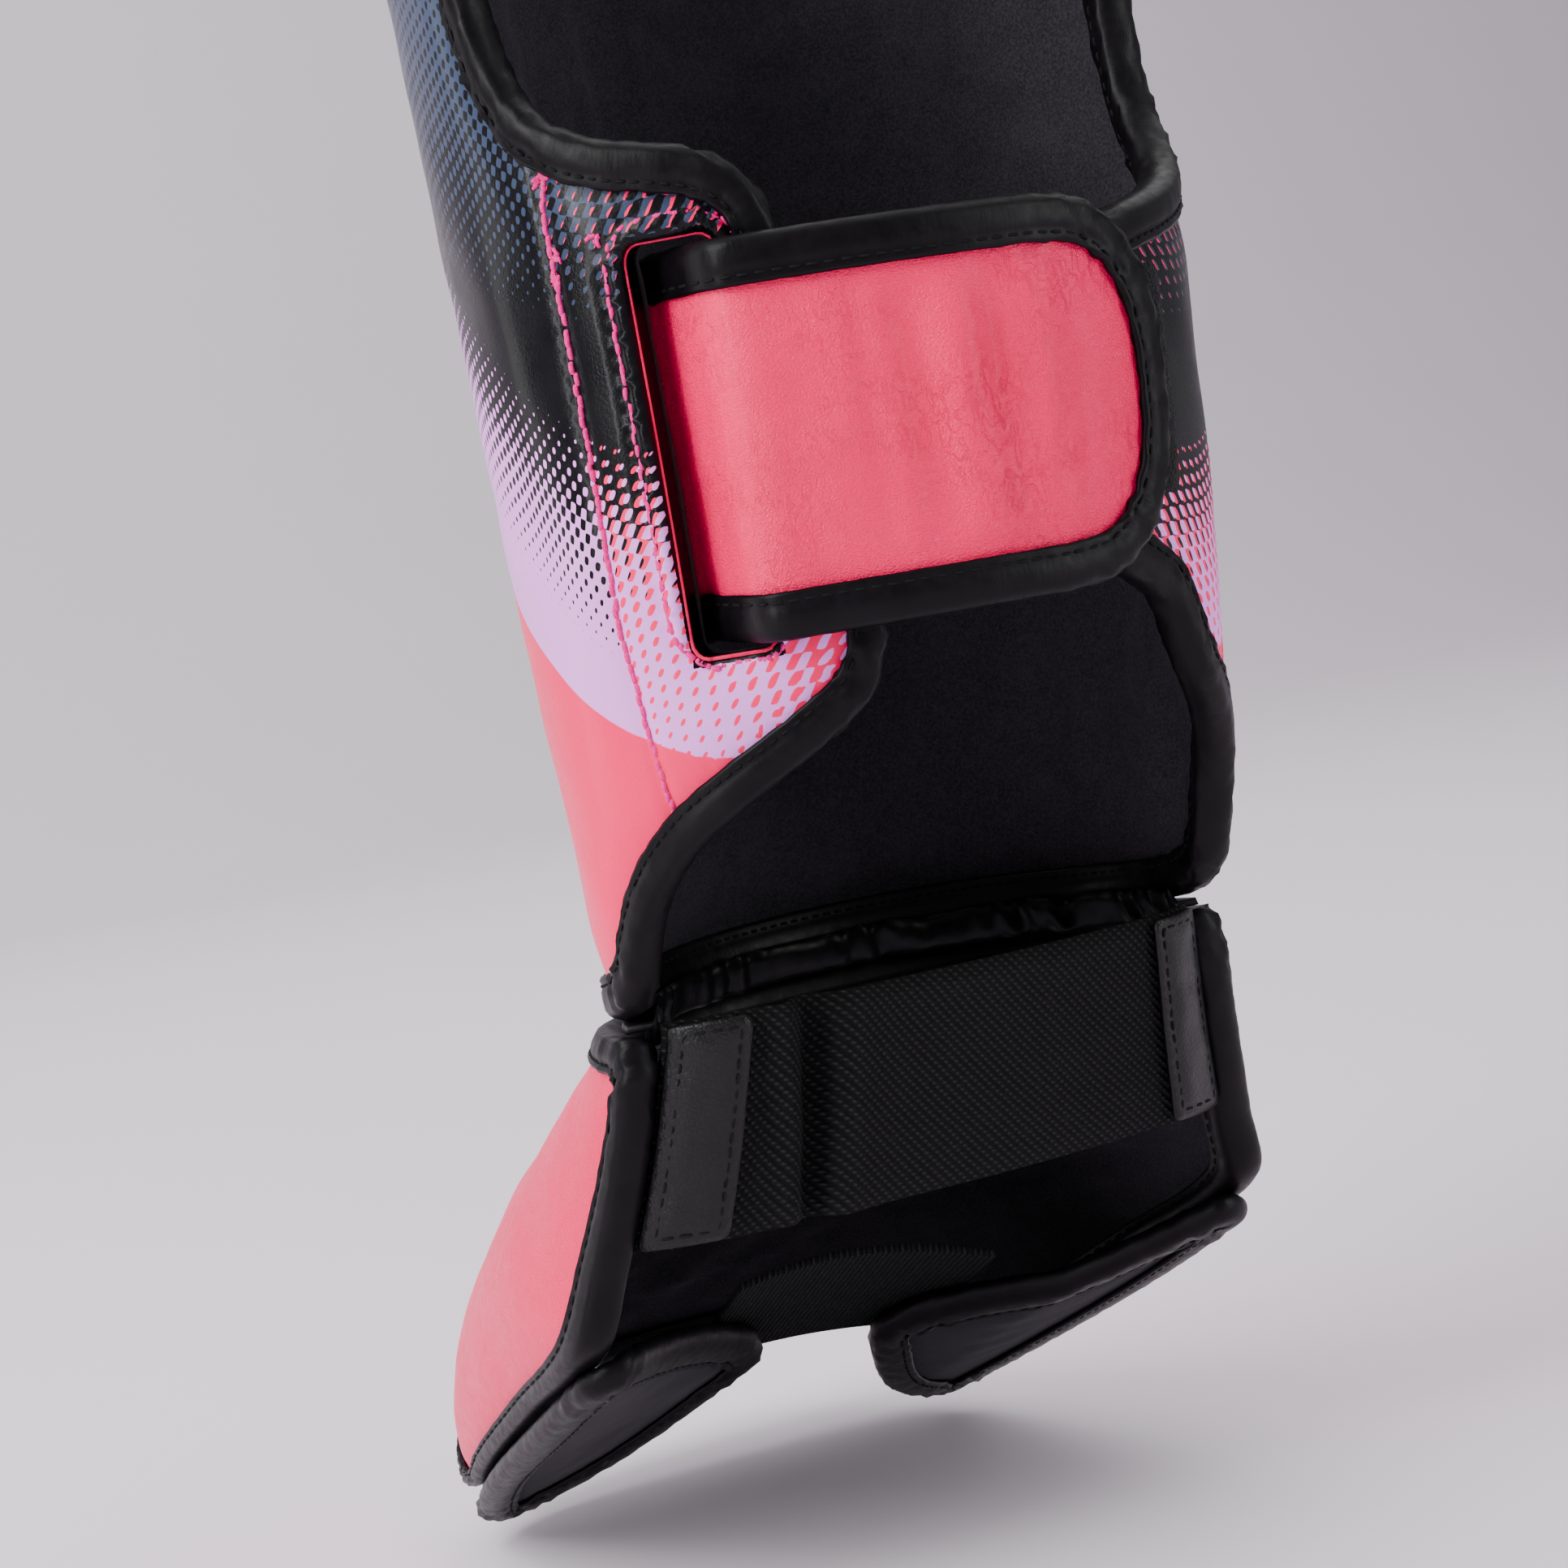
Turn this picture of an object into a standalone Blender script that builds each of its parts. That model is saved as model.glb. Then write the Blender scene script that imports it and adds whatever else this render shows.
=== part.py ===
"""A padded shin and instep guard, as worn on the right leg and seen from the calf side.

The leg's axis is Z. The toes point to +Y and the calf is at -Y. The origin is on the leg's axis
at the seam between the shin shell and the instep. Every piece is a sheet, cut to a flat outline
and then bent over the leg or the foot, so each has an outline and a function that places it.
"""

import math

import bmesh
import bpy
from mathutils import Vector
from mathutils.geometry import delaunay_2d_cdt

# Gap between pieces that touch
GAP = 0.0003

# Shin shell
SHIN_HEIGHT = 0.310
SHIN_HALF_WIDTH = 0.080
SHIN_FRONT_DEPTH = 0.086
SHIN_CALF_DEPTH = 0.058
SHIN_AXIS_BACK = 0.012
SHIN_PAD = 0.015
WING_PAD = 0.009
PAD_ROLL = 0.026
LINING = 0.0018

# Instep
INSTEP_LENGTH = 0.168
INSTEP_HEIGHT = 0.125
FOOT_HALF_WIDTH = 0.084
INSTEP_PAD = 0.009
# How much fuller the instep is at its shoulders than half an ellipse
SHOULDER = 0.09
# The turn from the front over which the shell's padding thins to that of its wings
PAD_TURN = math.radians(117)

# Bound edges
EDGE_THICKNESS = 0.005
BINDING_WIDTH = 0.0075
BINDING_WALL = 0.0011
BINDING_GAP = 0.0006

# Calf strap, its slot and its fastening patch
STRAP_WIDTH = 0.073
STRAP_HEIGHT = 0.1155
STRAP_THICKNESS = 0.0024
STRAP_INNER_CLEARANCE = 0.0022
STRAP_START = math.radians(-118)
STRAP_SLOT = math.radians(-135)
STRAP_END = math.radians(149)
SLOT_WIDTH = 0.0220
SLOT_MARGIN = 0.0020
SLOT_CORNER = 0.004
# Length of the tongue's rounding as a share of the width, and how far it keeps off an ellipse
TONGUE_SHARE = 0.42
TONGUE_POWER = 0.85
PATCH_THICKNESS = 0.0016
PATCH_CLEARANCE = 0.0007
PATCH_LENGTH = 0.020
PATCH_WIDTH = 0.046
PATCH_CORNER = 0.003
PATCH_SET_BACK = math.radians(2)

# Ankle elastic and its end tabs
ELASTIC_WIDTH = 0.048
ELASTIC_TOP = 0.0030
ELASTIC_THICKNESS = 0.0018
ELASTIC_CLEARANCE = 0.0012
ELASTIC_BULGE = 0.013
FOLD_DEPTH = 0.0055
TAB_WIDTH = 0.015
TAB_MARGIN = 0.0006
TAB_THICKNESS = 0.0014
TAB_CLEARANCE = 0.0012
TAB_CORNER = 0.0015

# Wings and strap under the foot
WING_THICKNESS = 0.0030
WING_CLEARANCE = 0.0008
FOOT_STRAP_REACH = 0.072
FOOT_STRAP_WIDTH = 0.044
FOOT_STRAP_THICKNESS = 0.0016
FOOT_STRAP_OVERLAP = 0.008
FOOT_STRAP_CLEARANCE = 0.0005
# The wings and their strap are drawn up towards the foot, most on the left of the middle
SOLE_LIFT = 0.012
SOLE_LIFT_CENTRE = -0.014
SOLE_LIFT_SPAN = 0.062
SOLE_LIFT_FADE = 0.080

# Mesh steps, and how far a straight cut edge bows
SIDE_BOW = 0.00005
FOLD_STEP = 0.0042
STATION = 0.0112
GRID = 0.0215
SOLE_GRID = 0.0150

# Height of the shell's lower edge as a share of SHIN_HEIGHT, and of the instep's upper edge, which
# lies against it with both bindings between them, the lower one turned by up to 45 degrees
SEAM_SHARE = 0.015
SEAM_DEPTH = 2 * GAP + (1 + math.sqrt(2)) * (BINDING_GAP + BINDING_WALL)
INSTEP_TOP = SEAM_SHARE * SHIN_HEIGHT - SEAM_DEPTH

# Height as a share of SHIN_HEIGHT, then the half width, the depth before and behind the widest
# line, and how far back that line lies, each as a share of its own named size
SHIN_SECTIONS = (
    (-0.05, 0.87, 0.58, 0.80, 0.60),
    (0.00, 0.88, 0.62, 0.81, 0.64),
    (0.10, 0.89, 0.72, 0.84, 0.75),
    (0.20, 0.91, 0.81, 0.87, 0.85),
    (0.38, 0.94, 0.92, 0.92, 1.00),
    (0.65, 0.98, 0.99, 0.98, 1.00),
    (1.00, 1.03, 1.04, 1.03, 1.00),
)

# The shell's cut edge, round from the ankle on the left: degrees from the front, height share
SHIN_OUTLINE = (
    (-80, 0.020),
    (-92, 0.035),
    (-104, 0.085),
    (-118, 0.125),
    (-133, 0.155),
    (-148, 0.185),
    (-157, 0.215),
    (-159, 0.255),
    (-157, 0.340),
    (-154, 0.430),
    (-151, 0.500),
    (-147, 0.535),
    (-138, 0.552),
    (-124, 0.566),
    (-112, 0.592),
    (-105, 0.640),
    (-102, 0.710),
    (-101, 0.800),
    (-97, 0.875),
    (-84, 0.938),
    (-60, 0.972),
    (-30, 0.992),
    (0, 1.000),
    (30, 0.992),
    (60, 0.972),
    (84, 0.938),
    (97, 0.875),
    (98, 0.800),
    (94, 0.710),
    (93, 0.625),
    (98, 0.560),
    (112, 0.517),
    (130, 0.494),
    (148, 0.478),
    (160, 0.456),
    (164, 0.400),
    (165, 0.330),
    (163, 0.280),
    (154, 0.255),
    (143, 0.232),
    (133, 0.180),
    (118, 0.138),
    (105, 0.095),
    (94, 0.040),
    (82, 0.020),
    (60, SEAM_SHARE),
    (30, SEAM_SHARE),
    (0, SEAM_SHARE),
    (-30, SEAM_SHARE),
    (-60, SEAM_SHARE),
)

# Share of the length down the instep, then shares of INSTEP_LENGTH and INSTEP_HEIGHT for its ridge
# and for its lower edge, and the half width there as a share of FOOT_HALF_WIDTH
INSTEP_SECTIONS = (
    (0.00, 0.27, 0.00, -0.04, 0.00, 0.84),
    (0.15, 0.44, 0.12, 0.01, 0.20, 0.89),
    (0.30, 0.61, 0.23, 0.06, 0.38, 0.95),
    (0.42, 0.73, 0.33, 0.11, 0.52, 1.00),
    (0.60, 0.88, 0.47, 0.36, 0.67, 0.97),
    (0.80, 1.00, 0.645, 0.66, 0.84, 0.91),
    (1.00, 1.05, 0.81, 0.92, 0.99, 0.80),
)

# The instep's cut edge: degrees from the ridge, share of the length
INSTEP_OUTLINE = (
    (-84, 0.000),
    (-89, 0.030),
    (-90, 0.120),
    (-90, 0.300),
    (-90, 0.420),
    (-90, 0.600),
    (-90, 0.800),
    (-89, 0.940),
    (-78, 0.995),
    (-45, 1.000),
    (0, 1.000),
    (45, 1.000),
    (78, 0.995),
    (89, 0.940),
    (90, 0.800),
    (90, 0.600),
    (90, 0.420),
    (90, 0.300),
    (90, 0.120),
    (89, 0.030),
    (84, 0.000),
    (45, 0.000),
    (0, 0.000),
    (-45, 0.000),
)

# A foot wing's cut edge, from the heel round the outside: half width and reach, as shares of
# FOOT_HALF_WIDTH and INSTEP_LENGTH
WING_OUTLINE = (
    (0.970, 0.130),
    (0.970, 0.360),
    (0.910, 0.660),
    (0.785, 0.885),
    (0.640, 0.860),
    (0.420, 0.740),
    (0.250, 0.580),
    (0.200, 0.495),
    (0.300, 0.430),
    (0.650, 0.265),
    (0.880, 0.115),
)

# Strap route: how far through the pad it lies, 0 on the outer face and 1 on the lining, and the
# angle from the slot towards the strap's inner end (-1) or the tongue's side (1)
SLOT_ROUTE = ((-1.0, 1.0), (-0.47, 1.0), (0.0, 0.5), (0.42, 0.0), (1.0, 0.0))
SLOT_RUN = math.radians(17)

# Elastic across the heel: share of the half span, share of the bulge, share of the fold's depth
ELASTIC_ROUTE = (
    (-1.00, -0.05, 0.0),
    (-0.93, 0.25, 0.0),
    (-0.84, 0.50, 0.0),
    (-0.70, 0.68, 0.0),
    (-0.58, 0.76, 0.3),
    (-0.50, 0.82, 1.0),
    (-0.42, 0.87, -0.9),
    (-0.33, 0.92, -0.5),
    (-0.18, 0.98, 0.0),
    (0.10, 1.00, 0.0),
    (0.40, 0.90, 0.0),
    (0.70, 0.68, 0.0),
    (0.84, 0.50, 0.0),
    (0.93, 0.25, 0.0),
    (1.00, -0.05, 0.0),
)

COLOURS = {
    "coral": ((0.85, 0.075, 0.130), 0.42),
    "binding": ((0.012, 0.011, 0.013), 0.55),
    "lining": ((0.007, 0.007, 0.009), 0.95),
    "elastic": ((0.010, 0.010, 0.011), 0.90),
    "loop": ((0.006, 0.006, 0.007), 1.00),
    "grain": ((0.014, 0.014, 0.015), 0.50),
}


def clear_scene():
    for item in list(bpy.data.objects):
        bpy.data.objects.remove(item, do_unlink=True)


def material(name):
    """One Principled material, made for the piece that asks for it."""
    colour, roughness = COLOURS[name]
    made = bpy.data.materials.new(name)
    made.use_nodes = True
    shader = made.node_tree.nodes["Principled BSDF"]
    shader.inputs["Base Color"].default_value = (*colour, 1.0)
    shader.inputs["Roughness"].default_value = roughness
    shader.inputs["Metallic"].default_value = 0.0
    return made


def table(rows, at):
    """Row values at a place in the first column, with a smooth curve through the rows."""
    last = len(rows) - 1
    at = min(max(at, rows[0][0]), rows[last][0])
    low = max(i for i in range(last) if rows[i][0] <= at)
    high = low + 1
    span = rows[high][0] - rows[low][0]
    share = (at - rows[low][0]) / span
    values = []
    for column in range(1, len(rows[0])):
        start = rows[low][column]
        end = rows[high][column]
        before = rows[max(low - 1, 0)]
        after = rows[min(high + 1, last)]
        slope_in = (end - before[column]) / (rows[high][0] - before[0]) * span
        slope_out = (after[column] - start) / (after[0] - rows[low][0]) * span
        values.append(
            (2 * share**3 - 3 * share**2 + 1) * start
            + (share**3 - 2 * share**2 + share) * slope_in
            + (3 * share**2 - 2 * share**3) * end
            + (share**3 - share**2) * slope_out
        )
    return values


def shin_point(angle, height):
    """The shell's outer surface at an angle from the front and a height."""
    width, front, calf, back = table(SHIN_SECTIONS, height / SHIN_HEIGHT)
    depth = front * SHIN_FRONT_DEPTH if math.cos(angle) > 0 else calf * SHIN_CALF_DEPTH
    return Vector((
        width * SHIN_HALF_WIDTH * math.sin(angle),
        depth * math.cos(angle) - back * SHIN_AXIS_BACK,
        height,
    ))


def instep_point(angle, along):
    """The instep's outer surface at an angle from its ridge and a share of its length."""
    ridge_y, ridge_z, edge_y, edge_z, width = table(INSTEP_SECTIONS, along)
    ridge = Vector((0, ridge_y * INSTEP_LENGTH, INSTEP_TOP - ridge_z * INSTEP_HEIGHT))
    edge = Vector((0, edge_y * INSTEP_LENGTH, INSTEP_TOP - edge_z * INSTEP_HEIGHT))
    fuller = 1 + SHOULDER * math.sin(2 * angle) ** 2
    point = edge + (ridge - edge) * math.cos(angle) * fuller
    point.x = width * FOOT_HALF_WIDTH * math.sin(angle) * fuller
    return point


def inward(surface, u, v, step_u, step_v):
    """Unit normal of a surface, towards the leg."""
    along_u = surface(u + step_u, v) - surface(u - step_u, v)
    along_v = surface(u, v + step_v) - surface(u, v - step_v)
    return along_u.cross(along_v).normalized()


def place_shin(q, z, depth):
    """Flat shell pattern to space: q is the angle as a length round the leg."""
    angle = q / SHIN_HALF_WIDTH
    normal = inward(shin_point, angle, z, 0.01, 0.002)
    return shin_point(angle, z) + normal * depth


def place_instep(q, z, depth):
    """Flat instep pattern to space: z runs from 0 at the ankle down to minus the length."""
    angle = q / FOOT_HALF_WIDTH
    along = min(max(-z / INSTEP_LENGTH, 0.0), 1.0)
    inner = min(max(along, 0.01), 0.99)
    turn = math.copysign(min(abs(angle), math.radians(89)), angle)
    normal = inward(instep_point, turn, inner, 0.01, -0.01)
    slope = (instep_point(angle, 0.99) - instep_point(angle, 0.98)) * 100
    overhang = slope * (-z / INSTEP_LENGTH - along)
    point = instep_point(angle, along)
    beyond = abs(angle) - math.radians(90)
    if beyond > 0:
        side = math.copysign(math.radians(90), angle)
        down = instep_point(side, along) - instep_point(side * 0.98, along)
        point = instep_point(side, along) + down.normalized() * beyond * FOOT_HALF_WIDTH
    point += overhang
    return point + normal * depth


def sole_height(y):
    """Upper face of the wings, which lie below the bound lower edge of the instep."""
    rows = [(row[3] * INSTEP_LENGTH, row[4] * INSTEP_HEIGHT) for row in INSTEP_SECTIONS[3:]]
    return INSTEP_TOP - table(rows, y)[0] - 2 * (BINDING_WALL + BINDING_GAP) - WING_CLEARANCE


def sole_lift(x, y):
    """How far the wings and their strap are drawn up, more towards the heel."""
    share = max(-1.0, min(1.0, (x - SOLE_LIFT_CENTRE) / SOLE_LIFT_SPAN))
    more = 1 + (FOOT_STRAP_REACH - y) / SOLE_LIFT_FADE
    return SOLE_LIFT * more * math.cos(share * math.pi / 2)


def place_sole(x, y, depth):
    return Vector((x, y, sole_height(y) + sole_lift(x, y) + depth))


def heel_edge(z):
    """How far forward and how far out the instep's rear edge lies at a height."""
    rows = [(row[4] * INSTEP_HEIGHT, row[3] * INSTEP_LENGTH, row[5] * FOOT_HALF_WIDTH)
            for row in INSTEP_SECTIONS[:4]]
    return table(rows, INSTEP_TOP - z)


def elastic_half_span():
    """Half the elastic's length at its top edge, where it ends inside the instep's binding."""
    return heel_edge(ELASTIC_TOP)[1] - EDGE_THICKNESS - BINDING_WALL - ELASTIC_CLEARANCE


def place_elastic(x, z, depth):
    share = max(-1.0, min(1.0, x / elastic_half_span()))
    bulge, fold = table(ELASTIC_ROUTE, share)
    forward, reach = heel_edge(z)
    across = share * (reach - EDGE_THICKNESS - BINDING_WALL - ELASTIC_CLEARANCE)
    return Vector((across, forward - bulge * ELASTIC_BULGE + fold * FOLD_DEPTH / 2 + depth, z))


def strap_depth(angle):
    """Depth of the strap's outer face below the shell's outer face, less than 0 outside it."""
    bound = BINDING_GAP + BINDING_WALL
    on_lining = WING_PAD + bound + STRAP_INNER_CLEARANCE
    outside = -max(bound, PATCH_CLEARANCE + PATCH_THICKNESS) - GAP - bound - STRAP_THICKNESS
    share = table(SLOT_ROUTE, (angle - STRAP_SLOT) / -SLOT_RUN)[0]
    return outside + share * (on_lining - outside)


def place_strap(q, z, depth):
    """Strap pattern to space: q grows from the inner end, round the calf, to the tongue."""
    angle = STRAP_START - q / SHIN_HALF_WIDTH
    return place_shin(angle * SHIN_HALF_WIDTH, z, strap_depth(angle) + depth)


def smooth_loop(points, step):
    """Stations at about one step apart on a smooth closed curve through the points."""
    count = len(points)
    dense = []
    for i in range(count):
        p0, p1, p2, p3 = (Vector(points[(i + k) % count]) for k in (-1, 0, 1, 2))
        for j in range(16):
            t = j / 16
            dense.append(
                0.5 * (2 * p1 + (p2 - p0) * t + (2 * p0 - 5 * p1 + 4 * p2 - p3) * t * t
                       + (3 * p1 - p0 - 3 * p2 + p3) * t**3)
            )
    lengths = [0.0]
    for i, point in enumerate(dense):
        lengths.append(lengths[-1] + (dense[(i + 1) % len(dense)] - point).length)
    total = lengths[-1]
    stations = max(12, round(total / step))
    loop = []
    index = 0
    for k in range(stations):
        target = total * k / stations
        while lengths[index + 1] < target:
            index += 1
        share = (target - lengths[index]) / (lengths[index + 1] - lengths[index])
        loop.append(dense[index].lerp(dense[(index + 1) % len(dense)], share))
    return loop


def rounded_box(low_x, high_x, low_y, high_y, radius, steps=4):
    """Outline of a rectangle with round corners, anticlockwise."""
    centres = (
        (high_x - radius, low_y + radius, -90),
        (high_x - radius, high_y - radius, 0),
        (low_x + radius, high_y - radius, 90),
        (low_x + radius, low_y + radius, 180),
    )
    loop = []
    for x, y, start in centres:
        for k in range(steps + 1):
            turn = math.radians(start + 90 * k / steps)
            loop.append(Vector((x + radius * math.cos(turn), y + radius * math.sin(turn))))
    return loop


def corners(low_x, high_x, low_y, high_y):
    return [Vector((low_x, low_y)), Vector((high_x, low_y)),
            Vector((high_x, high_y)), Vector((low_x, high_y))]


def split_long(loop, step):
    """An anticlockwise outline with its straight runs cut into steps, bowed out by a hair."""
    made = []
    for i, point in enumerate(loop):
        run = loop[(i + 1) % len(loop)] - point
        out = Vector((run.y, -run.x)).normalized() * SIDE_BOW
        pieces = max(1, round(run.length / step))
        for k in range(pieces):
            share = k / pieces
            made.append(point + run * share + out * 4 * share * (1 - share))
    return made


def area_of(loop):
    return 0.5 * sum(a.cross(b) for a, b in zip(loop, loop[1:] + loop[:1]))


def inset(loop, distance):
    """The outline moved inward, each station along its own normal."""
    side = 1 if area_of(loop) > 0 else -1
    moved = []
    for i, point in enumerate(loop):
        tangent = (loop[(i + 1) % len(loop)] - loop[i - 1]).normalized()
        moved.append(point + Vector((-tangent.y, tangent.x)) * side * distance)
    return moved


def inside(loop, point):
    crossings = 0
    for a, b in zip(loop, loop[1:] + loop[:1]):
        if (a.y > point.y) != (b.y > point.y):
            if point.x < a.x + (point.y - a.y) / (b.y - a.y) * (b.x - a.x):
                crossings += 1
    return crossings % 2 == 1


def edge_distance(loops, point):
    """Distance from a point of the pattern to the nearest cut edge."""
    best = 1.0
    for loop in loops:
        for a, b in zip(loop, loop[1:] + loop[:1]):
            run = b - a
            share = max(0.0, min(1.0, (point - a).dot(run) / run.length_squared))
            best = min(best, (point - a - run * share).length)
    return best


def triangle_area(a, b, c):
    return abs((b - a).cross(c - a)) / 2


def regions(faces, cut):
    """Groups of triangles that a cut edge keeps apart."""
    walls = {frozenset(pair) for loop in cut for pair in zip(loop, loop[1:] + loop[:1])}
    neighbours = {}
    for number, face in enumerate(faces):
        for pair in zip(face, (*face[1:], face[0])):
            neighbours.setdefault(frozenset(pair), []).append(number)
    seen = set()
    groups = []
    for start in range(len(faces)):
        if start in seen:
            continue
        seen.add(start)
        waiting = [start]
        group = []
        while waiting:
            number = waiting.pop()
            face = faces[number]
            group.append(list(face))
            for pair in zip(face, (*face[1:], face[0])):
                side = frozenset(pair)
                fresh = [n for n in neighbours[side] if n not in seen and side not in walls]
                seen.update(fresh)
                waiting.extend(fresh)
        groups.append(group)
    return groups


def pattern(outline, rings, holes, grid):
    """Points and triangles of a flat pattern, and its cut edges as rows of point numbers."""
    points = []
    edges = []
    loops = []
    for loop in [outline, *holes, *rings]:
        first = len(points)
        points.extend(loop)
        numbers = list(range(first, len(points)))
        loops.append(numbers)
        edges.extend(zip(numbers, numbers[1:] + numbers[:1]))
    border = rings[0] if rings else outline
    low_x, high_x = min(p.x for p in border), max(p.x for p in border)
    low_y, high_y = min(p.y for p in border), max(p.y for p in border)
    keep_off = [border, *holes, *rings]
    for row in range(int((high_y - low_y) / (grid * 0.87)) + 1):
        y = low_y + row * grid * 0.87
        x = low_x + (row % 2) * grid / 2
        while x < high_x:
            point = Vector((x, y))
            if inside(border, point) and edge_distance(keep_off, point) > grid * 0.45:
                if not any(inside(hole, point) for hole in holes):
                    points.append(point)
            x += grid
    flat, _, faces, origins, _, _ = delaunay_2d_cdt(points, edges, [], 0, 1e-7)
    places = {old: new for new, olds in enumerate(origins) for old in olds}
    cut = [[places[i] for i in numbers] for numbers in loops[: 1 + len(holes)]]
    kept = []
    for group in regions(faces, cut):
        widest = max(group, key=lambda face: triangle_area(*(flat[i] for i in face)))
        centre = sum((flat[i] for i in widest), Vector((0, 0))) / 3
        if inside(outline, centre) and not any(inside(hole, centre) for hole in holes):
            kept.extend(group)
    return flat, kept, cut


def finish_mesh(name, mesh, colour):
    """Turn the faces outward, shade the round parts smooth and add the object to the scene."""
    bmesh.ops.recalc_face_normals(mesh, faces=mesh.faces)
    if mesh.calc_volume(signed=True) < 0:
        bmesh.ops.reverse_faces(mesh, faces=mesh.faces)
    data = bpy.data.meshes.new(name)
    mesh.to_mesh(data)
    mesh.free()
    data.shade_smooth()
    data.set_sharp_from_angle(angle=math.radians(40))
    data.materials.append(material(colour))
    made = bpy.data.objects.new(name, data)
    bpy.context.scene.collection.objects.link(made)
    return made


def sheet(name, place, colour, cut_pattern, near_face, far_face):
    """A closed wall over a flat pattern, between two depths."""
    flat, faces, cut = cut_pattern
    mesh = bmesh.new()
    near = [mesh.verts.new(place(p.x, p.y, near_face(p))) for p in flat]
    far = [mesh.verts.new(place(p.x, p.y, far_face(p))) for p in flat]
    for a, b, c in faces:
        mesh.faces.new((near[a], near[b], near[c]))
        mesh.faces.new((far[c], far[b], far[a]))
    for numbers in cut:
        for a, b in zip(numbers, numbers[1:] + numbers[:1]):
            mesh.faces.new((near[a], near[b], far[b], far[a]))
    loose = [v for v in mesh.verts if not v.link_faces]
    bmesh.ops.delete(mesh, geom=loose, context="VERTS")
    return finish_mesh(name, mesh, colour)


def channel(name, place, colour, outline, near_depth, thickness):
    """Edge binding: a U-shaped channel round an outline, over both faces of the wall."""
    wall = BINDING_WALL
    low = near_depth - BINDING_GAP
    high = near_depth + thickness + BINDING_GAP
    fold = -BINDING_GAP - wall
    section = (
        (BINDING_WIDTH, low),
        (-BINDING_GAP, low),
        (-BINDING_GAP, high),
        (BINDING_WIDTH, high),
        (BINDING_WIDTH, high + wall),
        (fold, high + wall),
        (fold, low - wall),
        (BINDING_WIDTH, low - wall),
    )
    rings = [(inset(outline, distance), depth) for distance, depth in section]
    mesh = bmesh.new()
    rows = [[mesh.verts.new(place(p.x, p.y, depth)) for p in loop] for loop, depth in rings]
    for row, following in zip(rows, rows[1:] + rows[:1]):
        for i in range(len(row)):
            mesh.faces.new((row[i - 1], row[i], following[i], following[i - 1]))
    return finish_mesh(name, mesh, colour)


def pad_thickness(point, outlines, thickest):
    """Padding swells from the bound edge to its full thickness."""
    distance = edge_distance(outlines, point) - BINDING_WIDTH - GAP
    share = max(0.0, min(1.0, distance / PAD_ROLL))
    return EDGE_THICKNESS + (thickest - EDGE_THICKNESS) * share * (2 - share)


def shin_outline():
    points = [(math.radians(a) * SHIN_HALF_WIDTH, h * SHIN_HEIGHT) for a, h in SHIN_OUTLINE]
    return smooth_loop(points, STATION)


def slot_outline():
    centre = STRAP_SLOT * SHIN_HALF_WIDTH
    half = STRAP_WIDTH / 2 + BINDING_GAP + BINDING_WALL + SLOT_MARGIN
    low = STRAP_HEIGHT - half
    high = STRAP_HEIGHT + half
    box = rounded_box(centre - SLOT_WIDTH / 2, centre + SLOT_WIDTH / 2, low, high, SLOT_CORNER, 2)
    return split_long(box, STATION)


def build_shin():
    outline = shin_outline()
    slot = slot_outline()
    border = inset(outline, BINDING_WIDTH + 2 * GAP)
    cut_pattern = pattern(outline, [border], [slot], GRID)

    def full(point):
        turn = point.x / SHIN_HALF_WIDTH / PAD_TURN
        share = max(0.0, math.cos(turn * math.pi / 2))
        thickest = WING_PAD + (SHIN_PAD - WING_PAD) * share
        return pad_thickness(point, [outline], thickest)

    sheet("shin_shell", place_shin, "coral", cut_pattern,
          lambda p: 0.0, lambda p: full(p) - LINING - GAP)
    sheet("shin_lining", place_shin, "lining", cut_pattern,
          lambda p: full(p) - LINING, full)
    channel("shin_binding", place_shin, "binding", outline, 0.0, EDGE_THICKNESS)


def build_instep():
    points = [(math.radians(a) * FOOT_HALF_WIDTH, -s * INSTEP_LENGTH) for a, s in INSTEP_OUTLINE]
    outline = smooth_loop(points, STATION)
    border = inset(outline, BINDING_WIDTH + 2 * GAP)
    cut_pattern = pattern(outline, [border], [], GRID)

    def full(point):
        return pad_thickness(point, [outline], INSTEP_PAD)

    sheet("instep_shell", place_instep, "coral", cut_pattern,
          lambda p: 0.0, lambda p: full(p) - LINING - GAP)
    sheet("instep_lining", place_instep, "lining", cut_pattern,
          lambda p: full(p) - LINING, full)
    channel("instep_binding", place_instep, "binding", outline, 0.0, EDGE_THICKNESS)


def build_strap():
    length = (STRAP_START - STRAP_END + 2 * math.pi) * SHIN_HALF_WIDTH
    low = STRAP_HEIGHT - STRAP_WIDTH / 2
    high = STRAP_HEIGHT + STRAP_WIDTH / 2
    run = STRAP_WIDTH * TONGUE_SHARE
    tongue = []
    for k in range(13):
        angle = math.radians(-90 + 15 * k)
        forward = max(math.cos(angle), 0.0) ** TONGUE_POWER
        across = math.copysign(abs(math.sin(angle)) ** TONGUE_POWER, math.sin(angle))
        tongue.append(Vector((length - run + run * forward, STRAP_HEIGHT + across * STRAP_WIDTH / 2)))
    outline = split_long([Vector((0, low)), *tongue, Vector((0, high))], STATION)
    border = inset(outline, BINDING_WIDTH + 2 * GAP)
    cut_pattern = pattern(outline, [border], [], 2 * STRAP_WIDTH)
    sheet("calf_strap", place_strap, "coral", cut_pattern,
          lambda p: 0.0, lambda p: STRAP_THICKNESS)
    channel("strap_binding", place_strap, "binding", outline, 0.0, STRAP_THICKNESS)


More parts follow.
